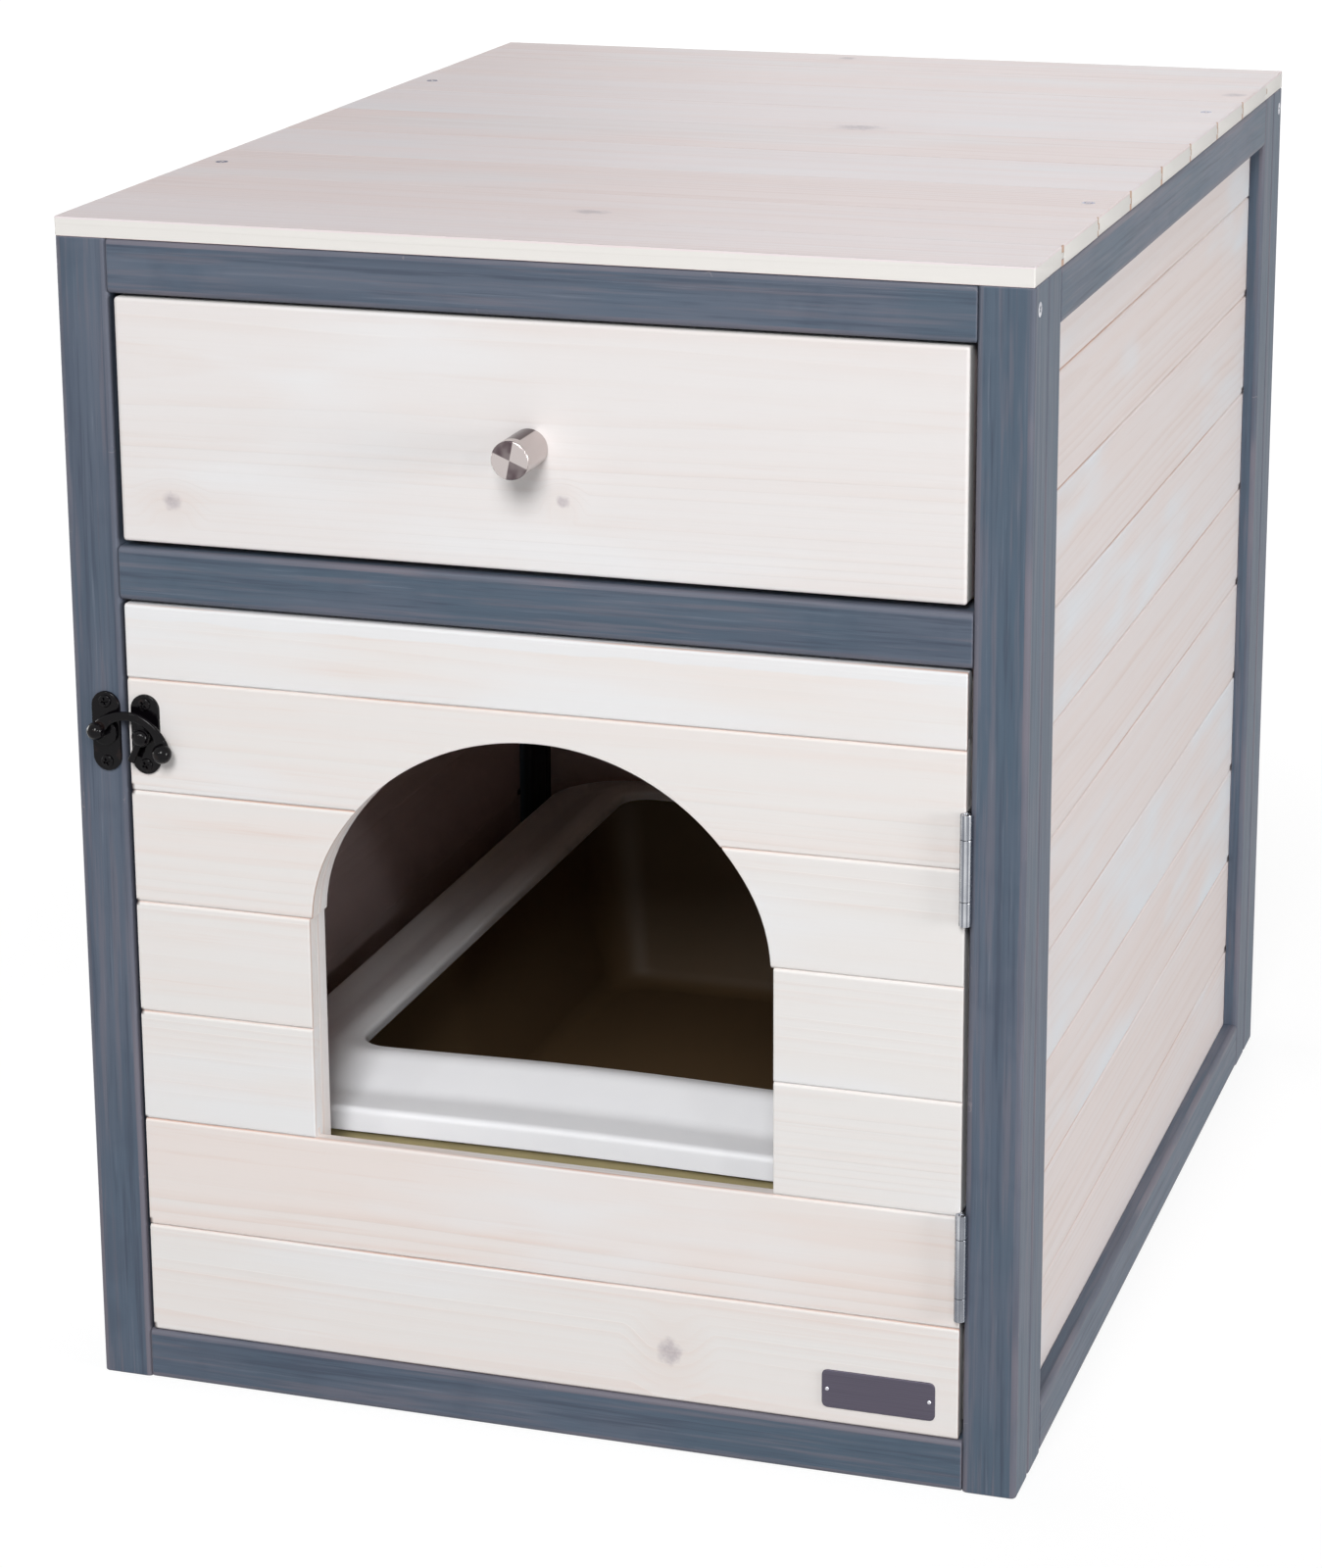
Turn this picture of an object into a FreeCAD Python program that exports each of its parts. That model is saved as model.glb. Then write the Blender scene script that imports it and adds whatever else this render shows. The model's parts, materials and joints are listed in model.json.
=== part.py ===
import FreeCAD, Part
import math
import os
import Sketcher

# Litter box enclosure: a framed and boarded wooden cabinet with a drawer, an arched door on two
# butt hinges, a swing-arm latch and a loose two-part litter tray.
# Millimetres. X runs from left to right, Y from the front to the back, Z up from the floor.
# The origin lies on the floor, in the middle of the whole object's footprint, knob included.

Vector = FreeCAD.Vector
Rotation = FreeCAD.Rotation
os.makedirs("parts", exist_ok=True)
doc = FreeCAD.newDocument("litter_box_enclosure")
sheet = doc.addObject("Spreadsheet::Sheet", "sizes")

# Driving dimensions
DRIVING = (
    ("width", 450, "cabinet, left to right"),
    ("depth", 600, "cabinet, front to back"),
    ("frame_height", 555, "frame, floor to the underside of the top"),
    ("stock", 25, "square frame timber"),
    ("edge_round", 2.5, "rounded long edges of the frame timber"),
    ("board_thickness", 9, "tongue-and-groove boards"),
    ("board_pitch", 54.1, "face width of a side or back board"),
    ("board_gap", 0.2, "hairline between boards"),
    ("tongue_height", 4, "tongue, out of the board's edge"),
    ("tongue_thickness", 3, "tongue, across the board"),
    ("tongue_play", 0.15, "room beside the tongue in its groove"),
    ("vee", 1.0, "bevel along a board's face edges"),
    ("panel_groove", 10, "how far a panel stands in the frame's groove"),
    ("groove_play", 0.15, "room beside and behind a panel in its groove"),
    ("top_thickness", 9, "top boards"),
    ("top_pitch", 71.3, "face width of a top board"),
    ("top_vee", 0.3, "bevel along a top board's edges"),
    ("drawer_opening", 117.2, "height between the top rail and the middle rail"),
    ("drawer_side_gap", 2.9, "beside the drawer front"),
    ("drawer_top_gap", 1.5, "above the drawer front"),
    ("drawer_bottom_gap", 3.1, "below the drawer front"),
    ("drawer_front_thickness", 15, "drawer front"),
    ("drawer_front_round", 1.5, "rounded edges of the drawer front"),
    ("drawer_wall", 9, "drawer sides and back"),
    ("drawer_base", 4, "drawer bottom"),
    ("drawer_base_rise", 8, "drawer bottom above the sides' lower edge"),
    ("drawer_box_height", 105, "drawer sides"),
    ("drawer_rear_room", 25, "between the drawer box and the rear frame"),
    ("runner_size", 18, "bearing part of a drawer runner"),
    ("runner_guide", 5, "thickness of a runner's guide"),
    ("runner_guide_height", 16, "guide above the bearing"),
    ("slide_play", 0.6, "room beside the drawer box"),
    ("rest_gap", 0.3, "hairline under what rests loose"),
    ("knob_diameter", 17.5, "drawer knob"),
    ("knob_length", 26, "knob in front of the drawer"),
    ("knob_chamfer", 0.8, "bevel of the knob's front edge"),
    ("knob_screw_diameter", 4, "screw through the drawer front"),
    ("knob_screw_head", 8, "its head inside the drawer"),
    ("knob_screw_rise", 2, "height of that head"),
    ("knob_screw_bite", 13, "how far it goes into the knob"),
    ("door_side_gap", 2, "beside the door"),
    ("door_top_gap", 1.8, "above the door"),
    ("door_bottom_gap", 0.5, "below the door"),
    ("door_pitch", 54.2, "face width of a door board"),
    ("sill_courses", 2, "door boards below the entrance"),
    ("arch_half_width", 111.2, "entrance, middle to its straight side"),
    ("saw_step", 1.2, "the arch's head is cut this much narrower on each side"),
    ("arch_spring_drop", 147.1, "arch's spring line below the door's top"),
    ("arch_rise", 97.5, "arch above its spring line"),
    ("arch_side_radius", 80, "arch's tighter curve at each side"),
    ("sill_lip", 6.5, "front part of the sill that is left standing"),
    ("sill_rebate", 5.5, "how deep the sill's back is cut away"),
    ("batten_thickness", 10, "inner layer of the door"),
    ("batten_width", 133, "inner layer, in from each side edge of the door"),
    ("batten_end_gap", 6, "inner layer, in from the door's top and bottom"),
    ("batten_sill_drop", 12, "inner layer stops this far below the sill, so that it doesn't show"),
    ("hinge_height", 51, "butt hinge"),
    ("hinge_end_knuckle", 11.2, "each outer knuckle"),
    ("knuckle_gap", 0.2, "between knuckles"),
    ("barrel_diameter", 5.4, "hinge knuckles"),
    ("pin_diameter", 2.6, "hinge pin"),
    ("pin_clearance", 0.06, "radial room of the pin in the door's knuckle"),
    ("barrel_proud", 2.9, "barrel's axis in front of the cabinet"),
    ("leaf_thickness", 0.9, "hinge leaf"),
    ("leaf_depth", 15, "hinge leaf behind the cabinet's front"),
    ("hinge_screw_head", 4, "countersunk head in a hinge leaf"),
    ("hinge_screw_shank", 2, "hinge screws"),
    ("hinge_screw_length", 12, "hinge screws"),
    ("hinge_screw_inset", 8.5, "hinge screws from the ends of a leaf"),
    ("upper_hinge_level", 88, "middle of the upper hinge, below the door's top"),
    ("lower_hinge_level", 85.7, "middle of the lower hinge, above the door's foot"),
    ("latch_level", 28.1, "middle of the latch's plates, above the foot of the arch board"),
    ("latch_plate_width", 14, "latch plates"),
    ("latch_plate_height", 38, "latch plates"),
    ("latch_plate_thickness", 1.5, "latch plates"),
    ("latch_screw_spacing", 29, "between a plate's two screws"),
    ("latch_screw_head", 6, "head diameter"),
    ("latch_screw_rise", 1.1, "head in front of its plate"),
    ("latch_screw_edge", 0.35, "bevel round the head"),
    ("latch_screw_shank", 3, "latch screws"),
    ("keeper_screw_length", 14, "screws of the keeper, in the post"),
    ("door_screw_length", 10, "screws of the door's plate, in its boards"),
    ("keeper_inset", 16.0, "keeper's middle from the cabinet's left face"),
    ("pivot_inset", 35.7, "arm's pivot from the cabinet's left face"),
    ("boss_diameter", 12.4, "round boss of the keeper"),
    ("boss_height", 2.3, "boss in front of its plate"),
    ("peg_diameter", 2.6, "keeper's peg"),
    ("peg_height", 2.3, "peg in front of the boss"),
    ("peg_play", 0.4, "room beside and over the peg in the arm's notch"),
    ("arm_setback", 3.3, "arm's back in front of the plates"),
    ("arm_thickness", 2.4, "arm, front to back"),
    ("arm_bend_radius", 18, "middle line of the arm's bow"),
    ("arm_bar", 4.2, "arm's width"),
    ("arm_bend_side", 7.1, "bow's centre, left of the pivot"),
    ("arm_bend_drop", 8.4, "bow's centre, below the pivot"),
    ("catch_ball", 8.6, "ball over the keeper"),
    ("thumb_ball", 9.2, "ball at the free end"),
    ("ball_forward", 1.6, "balls' centres in front of the arm's middle"),
    ("catch_angle", 146, "bow's end at the catch ball, in degrees"),
    ("thumb_angle", 6, "bow's end at the thumb ball, in degrees"),
    ("tail_width", 2.6, "arm's short tail below its eye"),
    ("tail_run", 5.6, "tail's end, left of the pivot"),
    ("tail_drop", 12, "tail's end, below the pivot"),
    ("eye_diameter", 9, "arm's eye round its rivet"),
    ("rivet_diameter", 3.2, "rivet's shank"),
    ("rivet_head", 7.8, "rivet's domed head"),
    ("rivet_dome", 2.6, "height of that dome"),
    ("rivet_clearance", 0.08, "radial room of the rivet in the eye"),
    ("plate_width", 53, "name plate"),
    ("plate_height", 18.5, "name plate"),
    ("plate_thickness", 0.8, "name plate"),
    ("plate_corner", 2.2, "name plate's corner radius"),
    ("plate_side_inset", 10.5, "name plate from the door's right edge"),
    ("plate_rise", 8, "name plate from the door's lower edge"),
    ("nail_head", 1.9, "name plate's nails"),
    ("nail_rise", 0.5, "their heads in front of the plate"),
    ("nail_edge", 0.15, "bevel round their heads"),
    ("nail_shank", 1, "their shanks"),
    ("nail_length", 7, "their length behind the plate's face"),
    ("nail_inset", 2.6, "nails from the plate's ends"),
    ("wood_screw_head", 6.5, "screws of the frame and top"),
    ("wood_screw_shank", 3.2, "their shanks"),
    ("wood_screw_length", 38, "length of the frame's screws"),
    ("top_screw_length", 25, "length of the top's screws"),
    ("top_screw_spread", 283, "between the two screws on one side of the top"),
    ("frame_screw_drop", 10.5, "frame screws below the top of the frame"),
    ("frame_screw_inset", 8.3, "frame screws from the front or back face"),
    ("floor_thickness", 9, "floor panel"),
    ("cleat_width", 12, "floor cleats"),
    ("cleat_height", 8, "floor cleats, and the floor's underside level"),
    ("tray_side_room", 17, "rim's side edges from the frame's inner faces"),
    ("tray_front_room", 42, "rim's front edge behind the cabinet's front"),
    ("tray_rear_room", 3, "rim's rear edge from the rear frame"),
    ("pan_height", 112, "pan, its base to the top of its flange"),
    ("pan_wall", 2.5, "pan"),
    ("pan_draft", 32, "how far the pan's walls lean out"),
    ("flange_width", 4.2, "pan's flange round its mouth"),
    ("flange_thickness", 2.5, "pan's flange"),
    ("rim_wall", 2.5, "rim"),
    ("skirt_height", 12, "rim's upright skirt"),
    ("skirt_lean", 2, "skirt's lean inwards"),
    ("ledge_width", 14, "rim's flat ledge"),
    ("slope_width", 27, "rim's sloped face"),
    ("slope_height", 11.5, "rim's sloped face"),
    ("crown_width", 10, "rim's flat crown beside its opening"),
    ("lip_drop", 7, "rim's inner lip, down from the crown"),
    ("tray_corner", 46, "tray's outer corner radius"),
    ("mouth_corner", 16, "corner radius of the rim's opening"),
    ("base_corner", 22, "corner radius of the pan's base"),
    ("ledge_step", 1, "ledge's rise"),
)


class Length:
    """A size that knows its value and its formula, so that a property can be bound to it."""

    def __init__(self, value, formula):
        self.value = float(value)
        self.formula = formula

    @staticmethod
    def of(other):
        if isinstance(other, Length):
            return other
        return Length(other, repr(float(other)))

    def joined(self, other, sign, value):
        return Length(value, f"({self.formula} {sign} {other.formula})")

    def __add__(self, other):
        other = Length.of(other)
        return self.joined(other, "+", self.value + other.value)

    def __sub__(self, other):
        other = Length.of(other)
        return self.joined(other, "-", self.value - other.value)

    def __mul__(self, other):
        other = Length.of(other)
        return self.joined(other, "*", self.value * other.value)

    def __truediv__(self, other):
        other = Length.of(other)
        return self.joined(other, "/", self.value / other.value)

    def __radd__(self, other):
        return Length.of(other) + self

    def __rsub__(self, other):
        return Length.of(other) - self

    def __rmul__(self, other):
        return Length.of(other) * self

    def __neg__(self):
        return Length.of(0) - self


class Sizes:
    """The sheet's cells by their aliases."""


size = Sizes()
for row, (alias, value, meaning) in enumerate(DRIVING, start=1):
    sheet.set(f"A{row}", alias)
    sheet.set(f"B{row}", str(value))
    sheet.set(f"C{row}", meaning)
    sheet.setAlias(f"B{row}", alias)
    setattr(size, alias, Length(value, f"sizes.{alias}"))
doc.recompute()
ZERO = Length.of(0)


def bind(thing, prop, length):
    thing.setExpression(prop, Length.of(length).formula)


def place(thing, at):
    """Bind an object's place to three lengths."""
    for axis, length in zip("xyz", at):
        bind(thing, f"Placement.Base.{axis}", length)


# Planes by the direction that a section is pushed along: a section along X is drawn in Y and Z,
# one along Y in X and Z, and one along Z in X and Y.
TURN = {
    "X": Rotation(Vector(1, 1, 1), 120),
    "Y": Rotation(Vector(1, 0, 0), 90),
    "Z": Rotation(),
}
HEADING = {"X": Vector(1, 0, 0), "Y": Vector(0, 1, 0), "Z": Vector(0, 0, 1)}
PLANE = {"X": "YZ_Plane", "Y": "XZ_Plane", "Z": "XY_Plane"}
nodes = []


def keep(thing, label):
    """Name a finished piece and list it for writing."""
    thing.Label = label
    nodes.append(thing)
    return thing


def draw_outline(sketch, points):
    """Draw a closed outline of straight lines, with every corner bound to the sheet."""
    count = len(points)
    for index in range(count):
        first = points[index]
        second = points[(index + 1) % count]
        start = Vector(Length.of(first[0]).value, Length.of(first[1]).value, 0)
        end = Vector(Length.of(second[0]).value, Length.of(second[1]).value, 0)
        sketch.addGeometry(Part.LineSegment(start, end), False)
    rules = [Sketcher.Constraint("Coincident", i, 2, (i + 1) % count, 1) for i in range(count)]
    for index, (across, up) in enumerate(points):
        across_value = Length.of(across).value
        up_value = Length.of(up).value
        rules.append(Sketcher.Constraint("DistanceX", -1, 1, index, 1, across_value))
        rules.append(Sketcher.Constraint("DistanceY", -1, 1, index, 1, up_value))
    sketch.addConstraint(rules)
    for index, corner in enumerate(points):
        for shift, length in enumerate(corner):
            number = count + 2 * index + shift
            sketch.setExpression(f"Constraints[{number}]", Length.of(length).formula)


def free_sketch(name, along, at):
    """Make an empty sketch that is crossed by the given direction, with its origin at a place."""
    sketch = doc.addObject("Sketcher::SketchObject", name)
    sketch.Placement = FreeCAD.Placement(Vector(), TURN[along])
    place(sketch, at)
    return sketch


def push(sketch, along, length, name):
    """Push a sketch along a direction into a solid."""
    solid = doc.addObject("Part::Extrusion", name)
    solid.Base = sketch
    solid.DirMode = "Custom"
    solid.Dir = HEADING[along]
    solid.Solid = True
    bind(solid, "LengthFwd", length)
    return solid


def prism(name, along, outline, length, at):
    """Push an outline of straight lines along a direction."""
    sketch = free_sketch(name + "_outline", along, at)
    draw_outline(sketch, outline)
    return push(sketch, along, length, name)


def block(name, extent, at):
    """A plain block from its lowest corner."""
    solid = doc.addObject("Part::Box", name)
    for prop, length in zip(("Length", "Width", "Height"), extent):
        bind(solid, prop, length)
    place(solid, at)
    return solid


def rod(name, along, diameter, length, at):
    """A round rod from the centre of its end, towards larger X or Z, or towards the front."""
    solid = doc.addObject("Part::Cylinder", name)
    bind(solid, "Radius", diameter / 2)
    bind(solid, "Height", length)
    solid.Placement = FreeCAD.Placement(Vector(), TURN[along])
    place(solid, at)
    return solid


def ball(name, diameter, at):
    solid = doc.addObject("Part::Sphere", name)
    bind(solid, "Radius", diameter / 2)
    place(solid, at)
    return solid


def joined(name, solids):
    whole = doc.addObject("Part::MultiFuse", name)
    whole.Shapes = solids
    whole.Refine = True
    return whole


def shared(name, solids):
    whole = doc.addObject("Part::MultiCommon", name)
    whole.Shapes = solids
    return whole


def cut(name, base, tool):
    whole = doc.addObject("Part::Cut", name)
    whole.Base = base
    whole.Tool = tool
    return whole


def group(name, solids):
    """Separate solids that share one node."""
    whole = doc.addObject("Part::Compound", name)
    whole.Links = solids
    return whole


def edges_along(shape, along, wanted):
    """Names of the straight edges that run along a direction and pass the given test."""
    heading = HEADING[along]
    names = []
    for number, edge in enumerate(shape.Edges, start=1):
        if len(edge.Vertexes) < 2:
            continue
        first, last = (corner.Point for corner in edge.Vertexes[:2])
        run = last - first
        if run.Length > 0 and abs(abs(run.dot(heading)) - run.Length) < 1e-6 and wanted(first):
            names.append(f"Edge{number}")
    return names


def body_outline(body, along, outline, name):
    """Draw an outline on one of a body's own planes."""
    sketch = body.newObject("Sketcher::SketchObject", name)
    role = PLANE[along]
    sketch.AttachmentSupport = [
        (plane, "") for plane in body.Origin.OriginFeatures if plane.Role == role
    ]
    sketch.MapMode = "FlatFace"
    draw_outline(sketch, outline)
    return sketch


def body_pad(body, along, outline, length, name):
    """Pad an outline of a body towards larger X, Y or Z."""
    sketch = body_outline(body, along, outline, name + "_outline")
    pad = body.newObject("PartDesign::Pad", name + "_pad")
    pad.Profile = sketch
    pad.Reversed = along == "Y"
    bind(pad, "Length", length)
    doc.recompute()
    return pad


def round_edges(body, feature, along, radius, wanted, name):
    """Round those edges of a body's feature that run along a direction."""
    fillet = body.newObject("PartDesign::Fillet", name + "_round")
    fillet.Base = (feature, edges_along(feature.Shape, along, wanted))
    bind(fillet, "Radius", radius)
    return fillet


def rectangle(across, up):
    return [(ZERO, ZERO), (across, ZERO), (across, up), (ZERO, up)]


# Levels and places that several pieces share
front = (size.knob_length - size.depth) / 2
back = front + size.depth
left = size.width / -2
right = size.width / 2
inner_width = size.width - 2 * size.stock
side_run = size.depth - 2 * size.stock
upper_rail_level = size.frame_height - size.stock
middle_rail_level = upper_rail_level - size.drawer_opening - size.stock
panel_inset = (size.stock - size.board_thickness) / 2
door_bottom = size.stock + size.door_bottom_gap
door_top = middle_rail_level - size.door_top_gap
door_left = left + size.stock + size.door_side_gap
door_right = right - size.stock - size.door_side_gap
door_width = door_right - door_left
sill_level = door_bottom + size.door_pitch * size.sill_courses
spring_level = door_top - size.arch_spring_drop
upper_hinge_middle = door_top - size.upper_hinge_level
lower_hinge_middle = door_bottom + size.lower_hinge_level


# Frame timber: square stock with rounded long edges, and on one face a groove for the panel
def stock_outline(groove_face):
    """The stock's section. The groove's face is low or high in the section's first or second
    direction, or None."""
    square = rectangle(size.stock, size.stock)
    if groove_face is None:
        return square
    low = panel_inset - size.groove_play
    high = size.stock - low
    deep = size.panel_groove + size.groove_play
    far = size.stock - deep
    notches = {
        "second low": (1, [(low, ZERO), (low, deep), (high, deep), (high, ZERO)]),
        "first high": (2, [(size.stock, low), (far, low), (far, high), (size.stock, high)]),
        "second high": (3, [(high, size.stock), (high, far), (low, far), (low, size.stock)]),
        "first low": (4, [(ZERO, high), (deep, high), (deep, low), (ZERO, low)]),
    }
    index, notch = notches[groove_face]
    return square[:index] + notch + square[index:]


def timber(label, along, length, at, groove_face=None):
    body = doc.addObject("PartDesign::Body", label)
    pad = body_pad(body, along, stock_outline(groove_face), length, label)
    across = [name for name in "XYZ" if name != along]

    def outer_corner(point):
        places = [getattr(point, name.lower()) for name in across]
        return all(min(abs(p), abs(p - size.stock.value)) < 1e-6 for p in places)

    round_edges(body, pad, along, size.edge_round, outer_corner, label)
    place(body, at)
    return keep(body, label)


rear_face = back - size.stock
right_face = right - size.stock
for side, x in (("left", left), ("right", right_face)):
    timber(f"front_post_{side}", "Z", size.frame_height, (x, front, ZERO))
for level_name, z in (("top", upper_rail_level), ("middle", middle_rail_level), ("bottom", ZERO)):
    timber(f"front_{level_name}_rail", "X", inner_width, (left + size.stock, front, z))
for side, x in (("left", left), ("right", right_face)):
    timber(f"{side}_front_stile", "Z", size.frame_height, (x, front + size.stock, ZERO),
           "second high")
    timber(f"{side}_rear_stile", "Z", size.frame_height, (x, rear_face - size.stock, ZERO),
           "second low")
    rail_run = side_run - 2 * size.stock
    timber(f"{side}_top_rail", "Y", rail_run, (x, front + 2 * size.stock, upper_rail_level),
           "second low")
    timber(f"{side}_bottom_rail", "Y", rail_run, (x, front + 2 * size.stock, ZERO),
           "second high")
timber("rear_post_left", "Z", size.frame_height, (left, rear_face, ZERO), "first high")
timber("rear_post_right", "Z", size.frame_height, (right_face, rear_face, ZERO), "first low")
timber("rear_top_rail", "X", inner_width, (left + size.stock, rear_face, upper_rail_level),
       "second low")
timber("rear_bottom_rail", "X", inner_width, (left + size.stock, rear_face, ZERO),
       "second high")


# Tongue-and-groove boards
def board_outline(height, thickness, vee, tongue, groove, face_low):
    """A board's section, its thickness in the first direction and its width in the second. The
    bevelled face is at zero, or at the full thickness where face_low is false."""
    half = thickness / 2
    tongue_half = size.tongue_thickness / 2
    groove_half = tongue_half + size.tongue_play
    groove_depth = size.tongue_height + size.tongue_play * 2
    points = [(ZERO, vee), (ZERO, height - vee), (vee, height)]
    if tongue:
        top = height + size.tongue_height
        points += [(half - tongue_half, height), (half - tongue_half, top)]
        points += [(half + tongue_half, top), (half + tongue_half, height)]
    points += [(thickness, height), (thickness, ZERO)]
    if groove:
        points += [(half + groove_half, ZERO), (half + groove_half, groove_depth)]
        points += [(half - groove_half, groove_depth), (half - groove_half, ZERO)]
    points += [(vee, ZERO)]
    if face_low:
        return points
    return [(thickness - across, up) for across, up in reversed(points)]


def swapped(outline):
    """The outline with its two directions exchanged."""
    return [(up, across) for across, up in reversed(outline)]


def course_lines(start, end, pitch):
    """The levels between courses of boards, full width from the start, with the last one ripped
    to fit."""
    count = math.ceil((end.value - start.value) / pitch.value - 1e-6)
    return [start + pitch * number for number in range(count)] + [end]


def panel(label, along, lines, length, at, face_low, flat=False):
    """A panel of boards. Its boards are stacked along Z, or along Y where it lies flat."""
    thickness = size.top_thickness if flat else size.board_thickness
    vee = size.top_vee if flat else size.vee
    boards = []
    for number in range(len(lines) - 1):
        height = lines[number + 1] - lines[number]
        last = number == len(lines) - 2
        if not last:
            height = height - size.board_gap
        outline = board_outline(height, thickness, vee, not last, number > 0, face_low)
        if flat:
            outline = swapped(outline)
            corner = (at[0], lines[number], at[2])
        else:
            corner = (at[0], at[1], lines[number])
        boards.append(prism(f"{label}_{number + 1}", along, outline, length, corner))
    return keep(group(label, boards), label)


panel_start = size.stock - size.panel_groove
panel_end = upper_rail_level + size.panel_groove
panel_lines = course_lines(panel_start, panel_end, size.board_pitch)
side_panel_run = side_run - 2 * size.stock + 2 * size.panel_groove
side_panel_front = front + 2 * size.stock - size.panel_groove
panel("left_side_boards", "Y", panel_lines, side_panel_run,
      (left + panel_inset, side_panel_front), True)
panel("right_side_boards", "Y", panel_lines, side_panel_run,
      (right - panel_inset - size.board_thickness, side_panel_front), False)
panel("back_boards", "X", panel_lines, inner_width + 2 * size.panel_groove,
      (left + panel_start, back - panel_inset - size.board_thickness), False)

full_tops = max(1, math.floor(size.depth.value / size.top_pitch.value) - 1)
edge_board = (size.depth - size.top_pitch * full_tops) / 2
top_lines = [front]
for number in range(full_tops + 1):
    top_lines.append(front + edge_board + size.top_pitch * number)
top_lines.append(back)
panel("top_boards", "X", top_lines, size.width, (left, None, size.frame_height), False, True)

# Floor panel on two cleats
floor_top = size.cleat_height + size.floor_thickness
keep(block("floor_panel", (inner_width, side_run, size.floor_thickness),
           (left + size.stock, front + size.stock, size.cleat_height)), "floor_panel")
for side, x in (("left", left + size.stock), ("right", right_face - size.cleat_width)):
    keep(block(f"floor_cleat_{side}", (size.cleat_width, side_run, size.cleat_height),
               (x, front + size.stock, ZERO)), f"floor_cleat_{side}")


# Door: boards cut by the entrance, and an inner layer on both sides of it
def entrance_sketch(name, half_width, foot, spring, rise, side_radius, at_y):
    """The entrance's outline: a foot, two straight sides, a tight curve at each side and a wide
    one across the crown, each tangent to the next."""
    sketch = free_sketch(name, "Y", (ZERO, at_y, ZERO))
    half, low, level, high, tight = (item.value for item in
                                     (half_width, foot, spring, rise, side_radius))
    wide = (half * half + high * high - 2 * half * tight) / (2 * (high - tight))
    crown_centre = level + high - wide
    lean = math.atan2(level - crown_centre, half - tight)
    axis = Vector(0, 0, 1)
    sketch.addGeometry(Part.LineSegment(Vector(-half, low, 0), Vector(half, low, 0)), False)
    sketch.addGeometry(Part.LineSegment(Vector(half, low, 0), Vector(half, level, 0)), False)
    for centre, radius, start, end in (
            (Vector(half - tight, level, 0), tight, 0, lean),
            (Vector(0, crown_centre, 0), wide, lean, math.pi - lean),
            (Vector(tight - half, level, 0), tight, math.pi - lean, math.pi)):
        sketch.addGeometry(Part.ArcOfCircle(Part.Circle(centre, axis, radius), start, end), False)
    sketch.addGeometry(Part.LineSegment(Vector(-half, level, 0), Vector(-half, low, 0)), False)
    foot_line, right_line, right_arc, crown, left_arc, left_line = range(6)
    sketch.addConstraint([
        Sketcher.Constraint("Coincident", foot_line, 2, right_line, 1),
        Sketcher.Constraint("Coincident", left_line, 2, foot_line, 1),
        Sketcher.Constraint("Horizontal", foot_line),
        Sketcher.Constraint("Tangent", right_line, 2, right_arc, 1),
        Sketcher.Constraint("Tangent", right_arc, 2, crown, 1),
        Sketcher.Constraint("Tangent", crown, 2, left_arc, 1),
        Sketcher.Constraint("Tangent", left_arc, 2, left_line, 1),
        Sketcher.Constraint("PointOnObject", crown, 3, -2),
        Sketcher.Constraint("DistanceX", -1, 1, right_line, 1, half),
        Sketcher.Constraint("DistanceX", -1, 1, left_line, 2, -half),
        Sketcher.Constraint("DistanceY", -1, 1, right_line, 1, low),
        Sketcher.Constraint("DistanceX", -1, 1, right_line, 2, half),
        Sketcher.Constraint("DistanceY", -1, 1, right_line, 2, level),
        Sketcher.Constraint("DistanceX", -1, 1, left_line, 1, -half),
        Sketcher.Constraint("DistanceY", -1, 1, left_line, 1, level),
        Sketcher.Constraint("Radius", right_arc, tight),
        Sketcher.Constraint("Radius", crown, wide),
    ])
    bound = {8: half_width, 9: -half_width, 10: foot, 11: half_width, 12: spring,
             13: -half_width, 14: spring, 15: side_radius}
    bound[16] = ((half_width * half_width + rise * rise - 2 * half_width * side_radius)
                 / (2 * (rise - side_radius)))
    for number, length in bound.items():
        sketch.setExpression(f"Constraints[{number}]", Length.of(length).formula)
    return sketch


door_depth = size.board_thickness + size.batten_thickness
upright_courses = round((spring_level.value - sill_level.value) / size.door_pitch.value)
head_half_width = size.arch_half_width - size.saw_step
head_sketch = entrance_sketch("entrance_head", head_half_width, sill_level, spring_level,
                              size.arch_rise, size.arch_side_radius, front)
head_tool = push(head_sketch, "Y", door_depth, "entrance_head_tool")
side_tool = block("entrance_side_tool",
                  (2 * size.arch_half_width, door_depth, size.door_pitch * upright_courses),
                  (-size.arch_half_width, front, sill_level))
entrance_tool = joined("entrance_tool", [head_tool, side_tool])
door_lines = course_lines(door_bottom, door_top, size.door_pitch)
arch_top = spring_level + size.arch_rise


def door_board(name, number, x, width):
    """One door board, counted from the bottom, from an X place over a width."""
    height = door_lines[number + 1] - door_lines[number]
    last = number == len(door_lines) - 2
    if not last:
        height = height - size.board_gap
    outline = board_outline(height, size.board_thickness, size.vee, not last, number > 0, True)
    return prism(name, "X", outline, width, (x, front, door_lines[number]))


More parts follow.
